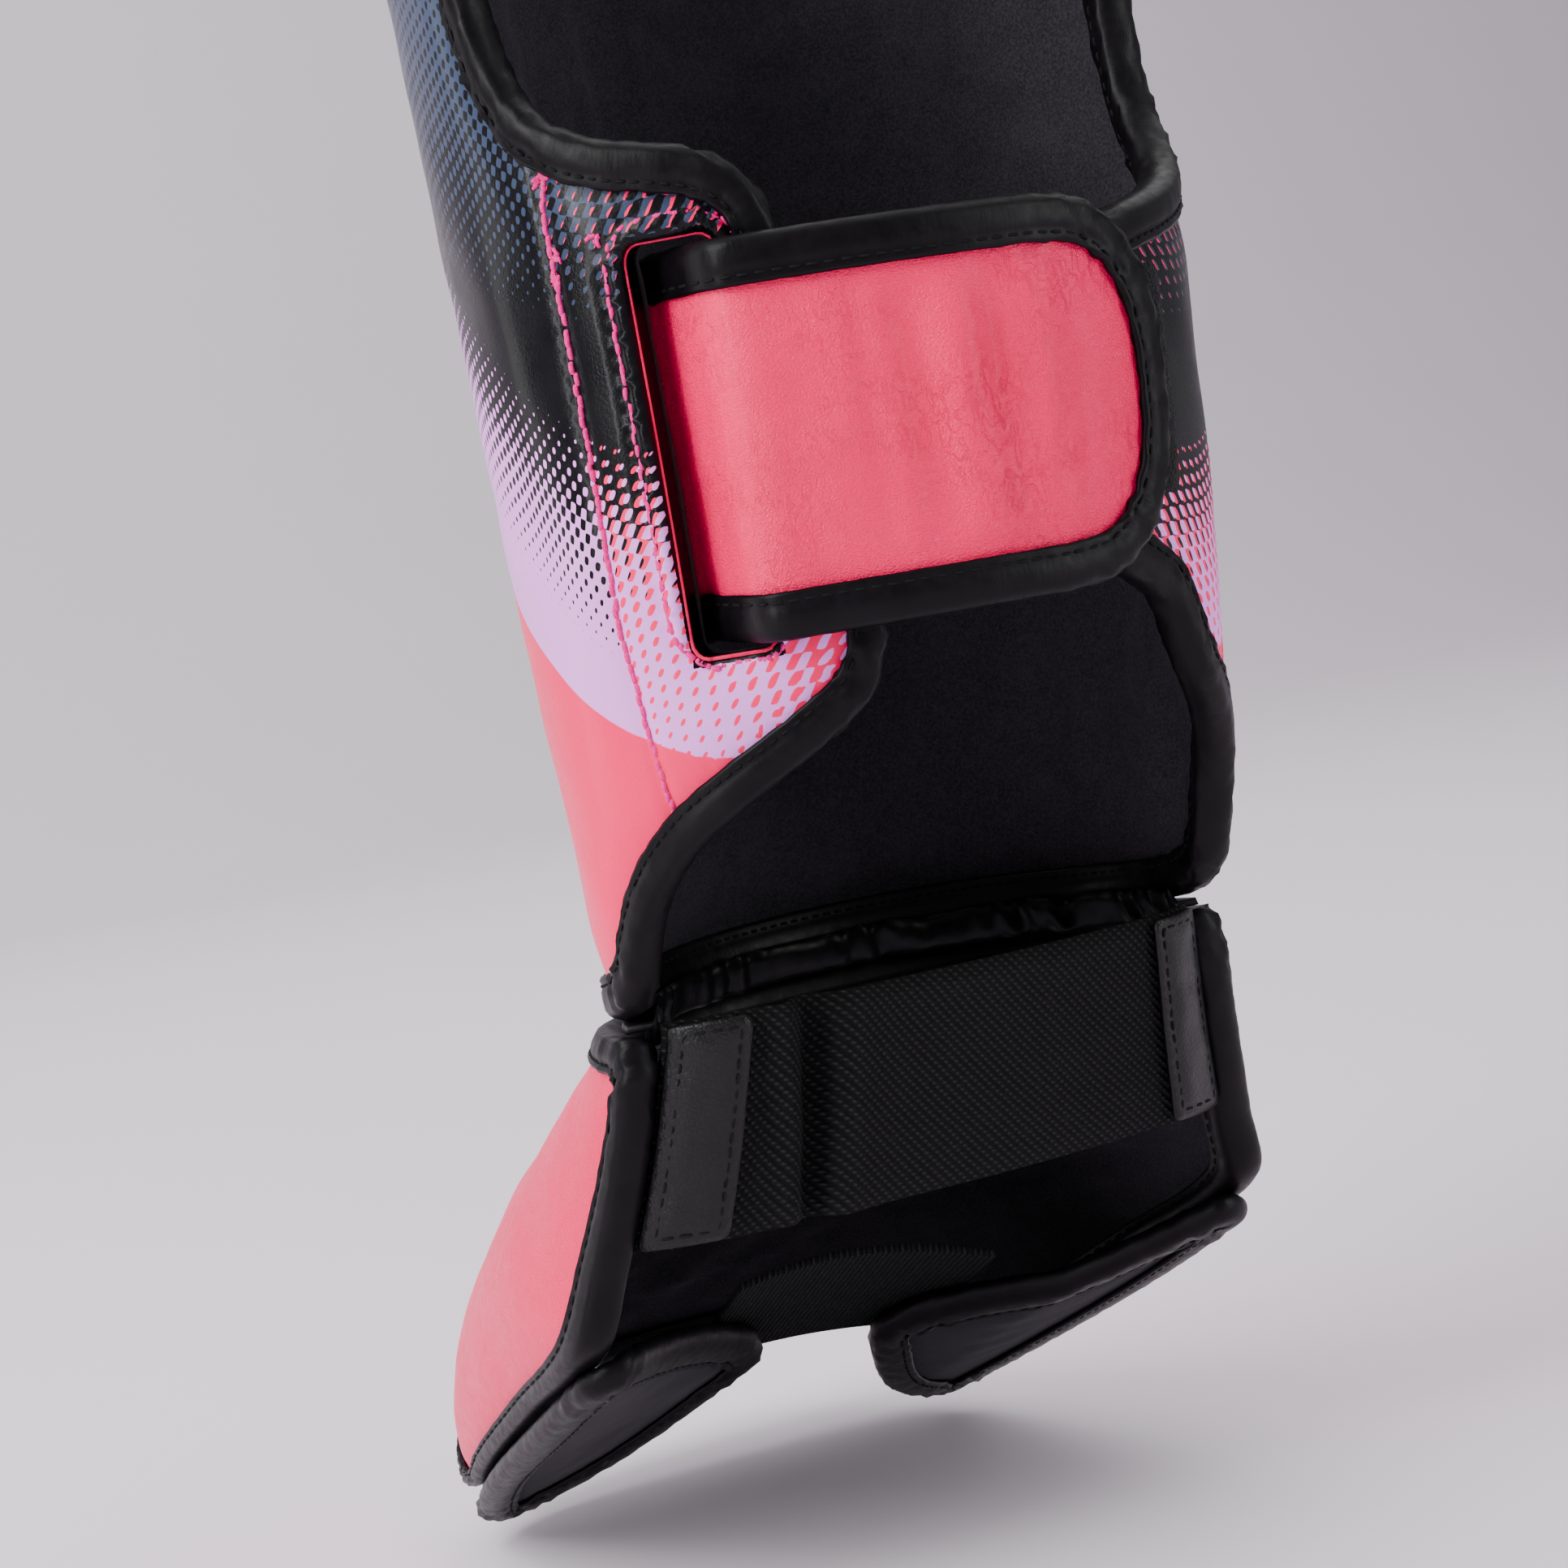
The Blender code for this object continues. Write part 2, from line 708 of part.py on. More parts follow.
def build_patch():
    middle = (STRAP_END - PATCH_SET_BACK) * SHIN_HALF_WIDTH
    low = STRAP_HEIGHT - PATCH_WIDTH / 2
    high = STRAP_HEIGHT + PATCH_WIDTH / 2
    left = middle - PATCH_LENGTH / 2
    box = rounded_box(left, left + PATCH_LENGTH, low, high, PATCH_CORNER, 1)
    outline = split_long(box, STATION)
    cut_pattern = pattern(outline, [], [], STATION)
    sheet("loop_patch", place_shin, "loop", cut_pattern,
          lambda p: -PATCH_CLEARANCE - PATCH_THICKNESS, lambda p: -PATCH_CLEARANCE)


def build_elastic():
    low = ELASTIC_TOP - ELASTIC_WIDTH
    span = elastic_half_span()
    box = corners(-span, span, low, ELASTIC_TOP)
    cut_pattern = pattern(split_long(box, FOLD_STEP), [], [], ELASTIC_WIDTH)
    sheet("ankle_elastic", place_elastic, "elastic", cut_pattern,
          lambda p: 0.0, lambda p: ELASTIC_THICKNESS)
    for side, name in ((-1, "elastic_tab_left"), (1, "elastic_tab_right")):
        outer = side * span
        inner = side * (span - TAB_WIDTH)
        tab = rounded_box(min(outer, inner), max(outer, inner), low + TAB_MARGIN,
                          ELASTIC_TOP - TAB_MARGIN, TAB_CORNER, 1)
        cut_pattern = pattern(split_long(tab, FOLD_STEP), [], [], ELASTIC_WIDTH)
        sheet(name, place_elastic, "grain", cut_pattern,
              lambda p: -TAB_CLEARANCE - TAB_THICKNESS, lambda p: -TAB_CLEARANCE)


def wing_outline(side):
    points = [(side * x * FOOT_HALF_WIDTH, y * INSTEP_LENGTH) for x, y in WING_OUTLINE]
    return smooth_loop(points, STATION)


def build_wings():
    for side, name in ((-1, "foot_wing_left"), (1, "foot_wing_right")):
        outline = wing_outline(side)
        border = inset(outline, BINDING_WIDTH + 2 * GAP)
        cut_pattern = pattern(outline, [border], [], SOLE_GRID)
        sheet(name, place_sole, "lining", cut_pattern,
              lambda p: -WING_THICKNESS, lambda p: 0.0)
        channel(name + "_binding", place_sole, "binding", outline, -WING_THICKNESS, WING_THICKNESS)


def build_foot_strap():
    tip = min(point.x for point in wing_outline(1))
    reach = tip + BINDING_WIDTH + FOOT_STRAP_OVERLAP
    low = FOOT_STRAP_REACH - FOOT_STRAP_WIDTH / 2
    high = FOOT_STRAP_REACH + FOOT_STRAP_WIDTH / 2
    outline = split_long(corners(-reach, reach, low, high), STATION)
    seat = BINDING_GAP + BINDING_WALL + FOOT_STRAP_CLEARANCE
    sheet("foot_strap", place_sole, "elastic", pattern(outline, [], [], STATION),
          lambda p: seat, lambda p: seat + FOOT_STRAP_THICKNESS)


clear_scene()
build_shin()
build_instep()
build_strap()
build_patch()
build_elastic()
build_wings()
build_foot_strap()
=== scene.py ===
import math

import bpy
import numpy as np
from mathutils import Matrix, Vector
from mathutils.geometry import delaunay_2d_cdt


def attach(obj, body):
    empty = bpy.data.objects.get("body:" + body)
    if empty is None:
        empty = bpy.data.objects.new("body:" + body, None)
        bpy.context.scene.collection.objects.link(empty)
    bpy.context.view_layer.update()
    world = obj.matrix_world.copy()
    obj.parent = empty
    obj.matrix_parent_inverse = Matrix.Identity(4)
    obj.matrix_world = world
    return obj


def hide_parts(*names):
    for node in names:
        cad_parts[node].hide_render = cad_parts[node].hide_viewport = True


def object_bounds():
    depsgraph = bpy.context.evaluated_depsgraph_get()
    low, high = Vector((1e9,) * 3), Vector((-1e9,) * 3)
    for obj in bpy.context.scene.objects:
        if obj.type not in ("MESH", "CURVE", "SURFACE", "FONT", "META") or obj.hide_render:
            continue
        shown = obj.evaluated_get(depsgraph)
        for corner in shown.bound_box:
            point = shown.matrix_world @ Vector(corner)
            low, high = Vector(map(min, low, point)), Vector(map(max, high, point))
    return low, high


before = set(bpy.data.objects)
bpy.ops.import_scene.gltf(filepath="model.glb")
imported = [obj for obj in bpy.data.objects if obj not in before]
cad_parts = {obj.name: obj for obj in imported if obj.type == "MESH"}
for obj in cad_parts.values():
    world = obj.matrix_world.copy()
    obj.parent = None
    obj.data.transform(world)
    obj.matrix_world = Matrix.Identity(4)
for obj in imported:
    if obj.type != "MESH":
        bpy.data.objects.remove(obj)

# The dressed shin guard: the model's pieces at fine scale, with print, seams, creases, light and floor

cad_low, cad_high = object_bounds()
MM = 0.001

# Sizes and tables of the solid model, in metres
GAP = 0.0003
SHIN_HEIGHT = 0.310
SHIN_HALF_WIDTH = 0.080
SHIN_FRONT_DEPTH = 0.086
SHIN_CALF_DEPTH = 0.058
SHIN_AXIS_BACK = 0.012
SHIN_PAD = 0.015
WING_PAD = 0.009
PAD_ROLL = 0.026
LINING = 0.0018
INSTEP_LENGTH = 0.168
INSTEP_HEIGHT = 0.125
FOOT_HALF_WIDTH = 0.084
INSTEP_PAD = 0.009
SHOULDER = 0.09
EDGE_THICKNESS = 0.005
BINDING_WIDTH = 0.0075
BINDING_WALL = 0.0011
BINDING_GAP = 0.0006
STRAP_WIDTH = 0.073
STRAP_HEIGHT = 0.1155
STRAP_THICKNESS = 0.0024
STRAP_INNER_CLEARANCE = 0.0022
STRAP_START = math.radians(-118)
STRAP_SLOT = math.radians(-135)
STRAP_END = math.radians(149)
SLOT_WIDTH = 0.0220
SLOT_MARGIN = 0.0020
PATCH_THICKNESS = 0.0016
PATCH_CLEARANCE = 0.0007
PATCH_LENGTH = 0.020
PATCH_WIDTH = 0.046
PATCH_SET_BACK = math.radians(2)
ELASTIC_WIDTH = 0.048
ELASTIC_TOP = 0.0030
ELASTIC_THICKNESS = 0.0018
ELASTIC_CLEARANCE = 0.0012
ELASTIC_BULGE = 0.013
FOLD_DEPTH = 0.0055
TAB_WIDTH = 0.015
TAB_MARGIN = 0.0006
TAB_THICKNESS = 0.0014
TAB_CLEARANCE = 0.0012
WING_THICKNESS = 0.0030
WING_CLEARANCE = 0.0008
FOOT_STRAP_REACH = 0.072
FOOT_STRAP_WIDTH = 0.044
FOOT_STRAP_THICKNESS = 0.0016
FOOT_STRAP_OVERLAP = 0.008
FOOT_STRAP_CLEARANCE = 0.0005
SOLE_LIFT = 0.012
SOLE_LIFT_CENTRE = -0.014
SOLE_LIFT_SPAN = 0.062
SOLE_LIFT_FADE = 0.080
STATION = 0.0112
SEAM_SHARE = 0.015
SEAM_DEPTH = 2 * GAP + (1 + math.sqrt(2)) * (BINDING_GAP + BINDING_WALL)
INSTEP_TOP = SEAM_SHARE * SHIN_HEIGHT - SEAM_DEPTH

# Fine mesh: how many steps each station is cut into, and the grids of the pads and the cloth
FINE = 5
CURVE_STEPS = 16
POINTS_AT_ONCE = 1500
PAD_GRID = 0.0044
CLOTH_GRID = 0.0028
STRAP_GRID = 0.0022
PATCH_GRID = 0.003
ELASTIC_GRID = 0.0014
TAB_GRID = 0.0015
FOOT_STRAP_GRID = 0.0018

# The swelling of a pad: air pressure, its greatest reach, the cloth's stiffness, and how far
# from the border and from a seam the pad is held
AIR_PRESSURE = 4.0
SWELL_REACH = 0.0012
CLOTH_STIFFNESS = 12
CLOTH_BENDING = 1.5
CLOTH_FRAMES = 20
BORDER_HOLD = 0.010
SEAM_HOLD = 0.005

# A binding's row of stitches: how far it stands from the tape's border, and its height on the pad
ROW_SET_BACK = 0.0017
THREAD_SINK = 0.0003
TAPE_FACE = BINDING_GAP + BINDING_WALL - THREAD_SINK

SHIN_SECTIONS = (
    (-0.05, 0.87, 0.58, 0.80, 0.60),
    (0.00, 0.88, 0.62, 0.81, 0.64),
    (0.10, 0.89, 0.72, 0.84, 0.75),
    (0.20, 0.91, 0.81, 0.87, 0.85),
    (0.38, 0.94, 0.92, 0.92, 1.00),
    (0.65, 0.98, 0.99, 0.98, 1.00),
    (1.00, 1.03, 1.04, 1.03, 1.00),
)

SHIN_OUTLINE = (
    (-80, 0.020), (-92, 0.035), (-104, 0.085), (-118, 0.125), (-133, 0.155), (-148, 0.185),
    (-157, 0.215), (-159, 0.255), (-157, 0.340), (-154, 0.430), (-151, 0.500), (-147, 0.535),
    (-138, 0.552), (-124, 0.566), (-112, 0.592), (-105, 0.640), (-102, 0.710), (-101, 0.800),
    (-97, 0.875), (-84, 0.938), (-60, 0.972), (-30, 0.992), (0, 1.000), (30, 0.992),
    (60, 0.972), (84, 0.938), (97, 0.875), (98, 0.800), (94, 0.710), (93, 0.625),
    (98, 0.560), (112, 0.517), (130, 0.494), (148, 0.478), (160, 0.456), (164, 0.400),
    (165, 0.330), (163, 0.280), (154, 0.255), (143, 0.232), (133, 0.180), (118, 0.138),
    (105, 0.095), (94, 0.040), (82, 0.020), (60, SEAM_SHARE), (30, SEAM_SHARE),
    (0, SEAM_SHARE), (-30, SEAM_SHARE), (-60, SEAM_SHARE),
)

INSTEP_SECTIONS = (
    (0.00, 0.27, 0.00, -0.04, 0.00, 0.84),
    (0.15, 0.44, 0.12, 0.01, 0.20, 0.89),
    (0.30, 0.61, 0.23, 0.06, 0.38, 0.95),
    (0.42, 0.73, 0.33, 0.11, 0.52, 1.00),
    (0.60, 0.88, 0.47, 0.36, 0.67, 0.97),
    (0.80, 1.00, 0.645, 0.66, 0.84, 0.91),
    (1.00, 1.05, 0.81, 0.92, 0.99, 0.80),
)

INSTEP_OUTLINE = (
    (-84, 0.000), (-89, 0.030), (-90, 0.120), (-90, 0.300), (-90, 0.420), (-90, 0.600),
    (-90, 0.800), (-89, 0.940), (-78, 0.995), (-45, 1.000), (0, 1.000), (45, 1.000),
    (78, 0.995), (89, 0.940), (90, 0.800), (90, 0.600), (90, 0.420), (90, 0.300),
    (90, 0.120), (89, 0.030), (84, 0.000), (45, 0.000), (0, 0.000), (-45, 0.000),
)

WING_OUTLINE = (
    (0.970, 0.130), (0.970, 0.360), (0.910, 0.660), (0.785, 0.885), (0.640, 0.860), (0.420, 0.740),
    (0.250, 0.580), (0.200, 0.495), (0.300, 0.430), (0.650, 0.265), (0.880, 0.115),
)

SLOT_ROUTE = ((-1.0, 1.0), (-0.47, 1.0), (0.0, 0.5), (0.42, 0.0), (1.0, 0.0))
SLOT_RUN = math.radians(17)

ELASTIC_ROUTE = (
    (-1.00, -0.05, 0.0), (-0.93, 0.25, 0.0), (-0.84, 0.50, 0.0), (-0.70, 0.68, 0.0),
    (-0.58, 0.76, 0.3), (-0.50, 0.82, 1.0), (-0.42, 0.87, -0.9), (-0.33, 0.92, -0.5),
    (-0.18, 0.98, 0.0), (0.10, 1.00, 0.0), (0.40, 0.90, 0.0), (0.70, 0.68, 0.0),
    (0.84, 0.50, 0.0), (0.93, 0.25, 0.0), (1.00, -0.05, 0.0),
)

# Seam down each wing as degrees from the front and height, and the oblong of stitches round the slot
SEAM_LINE = ((114, 0.176), (113, 0.150), (113, 0.100), (113.5, 0.076), (117, 0.045))
SEAM_LINE_RIGHT = ((112, 0.150), (112, 0.120), (112, 0.090), (113, 0.070), (115, 0.055))
WELT_LEFT = math.radians(-123.5)
WELT_RIGHT = math.radians(-147)
WELT_LOW = 0.0735
WELT_HIGH = 0.1600


# surfaces


def table(rows, at):
    rows = np.array(rows, float)
    at = np.clip(np.asarray(at, float), rows[0, 0], rows[-1, 0])
    low = np.clip(np.searchsorted(rows[:, 0], at, side="right") - 1, 0, len(rows) - 2)
    high = low + 1
    start, end = rows[low], rows[high]
    before, after = rows[np.maximum(low - 1, 0)], rows[np.minimum(high + 1, len(rows) - 1)]
    span = (end - start)[..., :1]
    share = (at[..., None] - start[..., :1]) / span
    slope_in = (end - before) / (end - before)[..., :1] * span
    slope_out = (after - start) / (after - start)[..., :1] * span
    values = ((2 * share**3 - 3 * share**2 + 1) * start
              + (share**3 - 2 * share**2 + share) * slope_in
              + (3 * share**2 - 2 * share**3) * end
              + (share**3 - share**2) * slope_out)
    return values[..., 1:]


def unit(vectors):
    return vectors / np.maximum(np.linalg.norm(vectors, axis=-1, keepdims=True), 1e-12)


def shin_point(angle, height):
    t = table(SHIN_SECTIONS, height / SHIN_HEIGHT)
    depth = np.where(np.cos(angle) > 0, t[..., 1] * SHIN_FRONT_DEPTH, t[..., 2] * SHIN_CALF_DEPTH)
    return np.stack([
        t[..., 0] * SHIN_HALF_WIDTH * np.sin(angle),
        depth * np.cos(angle) - t[..., 3] * SHIN_AXIS_BACK,
        height + 0 * angle,
    ], -1)


def instep_point(angle, along):
    t = table(INSTEP_SECTIONS, along)
    fuller = 1 + SHOULDER * np.sin(2 * angle) ** 2
    lift = np.cos(angle) * fuller
    return np.stack([
        t[..., 4] * FOOT_HALF_WIDTH * np.sin(angle) * fuller,
        (t[..., 2] + (t[..., 0] - t[..., 2]) * lift) * INSTEP_LENGTH,
        INSTEP_TOP - (t[..., 3] + (t[..., 1] - t[..., 3]) * lift) * INSTEP_HEIGHT,
    ], -1)


def inward(surface, u, v, step_u, step_v):
    along_u = surface(u + step_u, v) - surface(u - step_u, v)
    along_v = surface(u, v + step_v) - surface(u, v - step_v)
    return unit(np.cross(along_u, along_v))


def place_shin(q, z, depth):
    angle = q / SHIN_HALF_WIDTH
    normal = inward(shin_point, angle, z, 0.01, 0.002)
    return shin_point(angle, z) + normal * np.asarray(depth)[..., None]


def place_instep(q, z, depth):
    right = math.radians(90)
    angle = q / FOOT_HALF_WIDTH
    share = -z / INSTEP_LENGTH
    along = np.clip(share, 0.0, 1.0)
    turn = np.clip(angle, -math.radians(89), math.radians(89))
    normal = inward(instep_point, turn, np.clip(along, 0.01, 0.99), 0.01, -0.01)
    kept = np.clip(angle, -right, right)
    slope = (instep_point(kept, along * 0 + 0.99) - instep_point(kept, along * 0 + 0.98)) * 100
    point = instep_point(kept, along) + slope * (share - along)[..., None]
    extra = np.maximum(np.abs(angle) - right, 0.0) * FOOT_HALF_WIDTH
    side = np.sign(angle) * right
    down = unit(instep_point(side, along) - instep_point(side * 0.98, along))
    point = point + np.where(extra[..., None] > 0, down, 0.0) * extra[..., None]
    return point + normal * np.asarray(depth)[..., None]


def sole_height(y):
    """The level at which the flaps lie under the foot, before the band draws them up."""
    rows = [(row[3] * INSTEP_LENGTH, row[4] * INSTEP_HEIGHT) for row in INSTEP_SECTIONS[3:]]
    return INSTEP_TOP - table(rows, y)[..., 0] - 2 * (BINDING_WALL + BINDING_GAP) - WING_CLEARANCE


def sole_lift(x, y):
    """How far the band draws the flaps up, most in the middle."""
    share = np.clip((x - SOLE_LIFT_CENTRE) / SOLE_LIFT_SPAN, -1, 1)
    return SOLE_LIFT * (1 + (FOOT_STRAP_REACH - y) / SOLE_LIFT_FADE) * np.cos(share * math.pi / 2)


def place_sole(x, y, depth):
    return np.stack([x, y, sole_height(y) + sole_lift(x, y) + depth], -1)


def heel_edge(z):
    """Where the instep's side edges stand at a height: y, and half the width between them."""
    rows = [(row[4] * INSTEP_HEIGHT, row[3] * INSTEP_LENGTH, row[5] * FOOT_HALF_WIDTH)
            for row in INSTEP_SECTIONS[:4]]
    return table(rows, INSTEP_TOP - z)


HALF_SPAN = float(heel_edge(np.array(ELASTIC_TOP))[1]) - EDGE_THICKNESS - BINDING_WALL - ELASTIC_CLEARANCE


def place_elastic(x, z, depth):
    share = np.clip(x / HALF_SPAN, -1.0, 1.0)
    route = table(ELASTIC_ROUTE, share)
    edge = heel_edge(z)
    across = share * (edge[..., 1] - EDGE_THICKNESS - BINDING_WALL - ELASTIC_CLEARANCE)
    back = edge[..., 0] - route[..., 0] * ELASTIC_BULGE + route[..., 1] * FOLD_DEPTH / 2
    return np.stack([across, back + depth, z], -1)


def strap_depth(angle):
    """The strap's depth along its run: against the lining, through the slot, then outside."""
    bound = BINDING_GAP + BINDING_WALL
    on_lining = WING_PAD + bound + STRAP_INNER_CLEARANCE
    outside = -max(bound, PATCH_CLEARANCE + PATCH_THICKNESS) - GAP - bound - STRAP_THICKNESS
    share = table(SLOT_ROUTE, (angle - STRAP_SLOT) / -SLOT_RUN)[..., 0]
    return outside + share * (on_lining - outside)


def place_strap(q, z, depth):
    angle = STRAP_START - q / SHIN_HALF_WIDTH
    return place_shin(angle * SHIN_HALF_WIDTH, z, strap_depth(angle) + depth)


# flat patterns


def curve(p0, p1, p2, p3, t):
    """The smooth curve from p1 to p2 that heeds the point before and the point after."""
    return 0.5 * (2 * p1 + (p2 - p0) * t + (2 * p0 - 5 * p1 + 4 * p2 - p3) * t * t
                  + (3 * p1 - p0 - 3 * p2 + p3) * t**3)


def smooth_loop(points, step):
    """Even stations on a smooth closed curve."""
    points = np.array(points, float)
    t = (np.arange(CURVE_STEPS) / CURVE_STEPS)[:, None]
    around = [np.roll(points, -k, axis=0) for k in (-1, 0, 1, 2)]
    return resample(np.concatenate([curve(*four, t) for four in zip(*around)]), step, True)


def smooth_open(points, step):
    """Even stations on a smooth open curve."""
    points = np.array(points, float)
    padded = np.concatenate([[2 * points[0] - points[1]], points, [2 * points[-1] - points[-2]]])
    t = (np.arange(CURVE_STEPS) / CURVE_STEPS)[:, None]
    dense = [curve(*padded[i - 1:i + 3], t) for i in range(1, len(padded) - 2)]
    return resample(np.concatenate(dense + [points[-1:]]), step, False)


def resample(path, step, closed):
    """Stations an even step apart on a path."""
    path = np.asarray(path, float)
    if closed:
        path = np.concatenate([path, path[:1]])
    lengths = np.concatenate([[0], np.cumsum(np.linalg.norm(np.diff(path, axis=0), axis=1))])
    stations = max(2, round(lengths[-1] / step))
    at = (np.arange(stations) * lengths[-1] / stations if closed
          else np.linspace(0, lengths[-1], stations + 1))
    return np.stack([np.interp(at, lengths, path[:, k]) for k in range(path.shape[1])], 1)


def finer(loop, smooth=True, parts=FINE):
    """A closed loop with each of its steps cut into parts."""
    t = (np.arange(parts) / parts)[None, :, None]
    p0, p1, p2, p3 = (np.roll(loop, -k, axis=0)[:, None, :] for k in (-1, 0, 1, 2))
    made = curve(p0, p1, p2, p3, t) if smooth else p1 + (p2 - p1) * t
    return made.reshape(-1, loop.shape[1])


def rounded_box(low_x, high_x, low_y, high_y, radius, steps=4):
    corners = ((high_x - radius, low_y + radius, -90), (high_x - radius, high_y - radius, 0),
               (low_x + radius, high_y - radius, 90), (low_x + radius, low_y + radius, 180))
    loop = []
    for x, y, start in corners:
        for k in range(steps + 1):
            turn = math.radians(start + 90 * k / steps)
            loop.append((x + radius * math.cos(turn), y + radius * math.sin(turn)))
    return np.array(loop)


def split_long(loop, step):
    """A closed loop with its long sides cut into steps, its corners kept."""
    made = []
    for i, point in enumerate(loop):
        run = loop[(i + 1) % len(loop)] - point
        pieces = max(1, round(np.linalg.norm(run) / step))
        for k in range(pieces):
            made.append(point + run * k / pieces)
    return np.array(made)


def area_of(loop):
    following = np.roll(loop, -1, axis=0)
    return 0.5 * float(np.sum(loop[:, 0] * following[:, 1] - loop[:, 1] * following[:, 0]))


def inset(loop, distance):
    side = 1 if area_of(loop) > 0 else -1
    tangent = unit(np.roll(loop, -1, axis=0) - np.roll(loop, 1, axis=0))
    return loop + np.stack([-tangent[:, 1], tangent[:, 0]], 1) * side * distance


def inside(loop, points):
    a, b = loop[None], np.roll(loop, -1, axis=0)[None]
    x, y = points[:, :1], points[:, 1:]
    rise = np.where(b[..., 1] == a[..., 1], 1e-12, b[..., 1] - a[..., 1])
    crossing = (a[..., 1] > y) != (b[..., 1] > y)
    meets = a[..., 0] + (y - a[..., 1]) / rise * (b[..., 0] - a[..., 0])
    return (np.sum(crossing & (x < meets), 1) % 2) == 1


def distance_to(path, points, closed=True):
    """Distance of flat points from a path."""
    a = path if closed else path[:-1]
    run = (np.roll(path, -1, axis=0) if closed else path[1:])[: len(a)] - a
    best = np.full(len(points), 1.0)
    for first in range(0, len(points), POINTS_AT_ONCE):
        p = points[first:first + POINTS_AT_ONCE][:, None] - a[None]
        share = np.clip(np.sum(p * run, -1) / np.maximum(np.sum(run * run, -1), 1e-15), 0, 1)
        best[first:first + POINTS_AT_ONCE] = np.min(np.linalg.norm(p - run * share[..., None], axis=-1), 1)
    return best


def from_border(line, points, reach):
    """0 under the binding, rising to 1 at a reach beyond it."""
    return np.clip((distance_to(line, points) - BINDING_WIDTH) / reach, 0, 1)


def pattern(outline, holes, grid, rings=()):
    """Points, triangles and cut edges of a flat pattern on an even grid."""
    loops = [outline, *holes, *rings]
    points = np.concatenate(loops)
    edges, numbers, first = [], [], 0
    for loop in loops:
        ids = list(range(first, first + len(loop)))
        numbers.append(ids)
        edges.extend(zip(ids, ids[1:] + ids[:1]))
        first += len(loop)
    low, high = outline.min(0), outline.max(0)
    rows = np.arange(low[1], high[1], grid * 0.87)
    columns = np.arange(low[0], high[0], grid)
    lattice = np.array([(x + (i % 2) * grid / 2, y) for i, y in enumerate(rows) for x in columns])
    keep = inside(outline, lattice)
    for hole in holes:
        keep &= ~inside(hole, lattice)
    lattice = lattice[keep]
    for loop in loops:
        lattice = lattice[distance_to(loop, lattice) > grid * 0.45]
    points = np.concatenate([points, lattice])
    flat, _, faces, origins, _, _ = delaunay_2d_cdt(
        [Vector(p) for p in points.tolist()], edges, [], 0, 1e-8)
    flat = np.array([tuple(p) for p in flat])
    faces = np.array([tuple(f) for f in faces])
    places = {old: new for new, olds in enumerate(origins) for old in olds}
    centres = flat[faces].mean(1)
    keep = inside(outline, centres)
    for hole in holes:
        keep &= ~inside(hole, centres)
    cut = [[places[i] for i in ids] for ids in numbers[: 1 + len(holes)]]
    return flat, faces[keep], cut


def ripple(points, seed, scale, octaves=3):
    """Smooth noise over flat points from a seeded sum of waves, about -1 to 1."""
    rng = np.random.default_rng(seed)
    total = np.zeros(len(points))
    for octave in range(octaves):
        for _ in range(7):
            turn = rng.uniform(0, 2 * math.pi)
            wave = rng.uniform(0.7, 1.4) * 2 * math.pi / scale * 1.9**octave
            total += np.sin((points[:, 0] * math.cos(turn) + points[:, 1] * math.sin(turn)) * wave
                            + rng.uniform(0, 2 * math.pi)) / 1.9**octave / 4
    return total


# meshes


def make(name, verts, faces, material, flat=None):
    data = bpy.data.meshes.new(name)
    data.from_pydata(np.asarray(verts).tolist(), [], [list(map(int, f)) for f in faces])
    data.update()
    data.shade_smooth()
    made = bpy.data.objects.new(name, data)
    bpy.context.scene.collection.objects.link(made)
    if flat is not None:
        field = data.attributes.new("flat_at", "FLOAT_VECTOR", "POINT")
        field.data.foreach_set("vector", np.column_stack([flat, np.zeros(len(flat))]).ravel())
    data.materials.append(material)
    return made


def sheet_mesh(name, place, pat, near, far, material):
    """A closed wall over a flat pattern between two depths. Near faces come first."""
    flat, faces, cut = pat
    count = len(flat)
    verts = np.concatenate([place(flat[:, 0], flat[:, 1], near), place(flat[:, 0], flat[:, 1], far)])
    made = [tuple(f) for f in faces[:, ::-1]] + [tuple(f + count) for f in faces]
    for ids in cut:
        for a, b in zip(ids, ids[1:] + ids[:1]):
            made.append((a, b, b + count, a + count))
    used = np.zeros(2 * count, bool)
    for f in made:
        used[list(f)] = True
    places = np.cumsum(used) - 1
    made = [tuple(places[list(f)]) for f in made]
    double = np.concatenate([flat, flat])[used]
    piece = make(name, verts[used], made, material, double)
    sides = piece.data.attributes.new("side", "FLOAT", "POINT")
    sides.data.foreach_set("value", np.concatenate([np.zeros(count), np.ones(count)])[used])
    return piece


def flat_of(piece):
    values = np.zeros(len(piece.data.vertices) * 3)
    piece.data.attributes["flat_at"].data.foreach_get("vector", values)
    side = np.zeros(len(piece.data.vertices))
    if "side" in piece.data.attributes:
        piece.data.attributes["side"].data.foreach_get("value", side)
    return values.reshape(-1, 3)[:, :2], side


def points_of(piece):
    values = np.zeros(len(piece.data.vertices) * 3)
    piece.data.vertices.foreach_get("co", values)
    return values.reshape(-1, 3)


def move_points(piece, values):
    piece.data.vertices.foreach_set("co", np.ascontiguousarray(values).ravel())
    piece.data.update()


def lay_uv(piece):
    """A map in metres of the flat pattern, for the print, the weave and the grain."""
    flat, _ = flat_of(piece)
    corners = np.zeros(len(piece.data.loops), int)
    piece.data.loops.foreach_get("vertex_index", corners)
    uv = piece.data.uv_layers.new(name="flat")
    uv.data.foreach_set("uv", flat[corners].ravel())


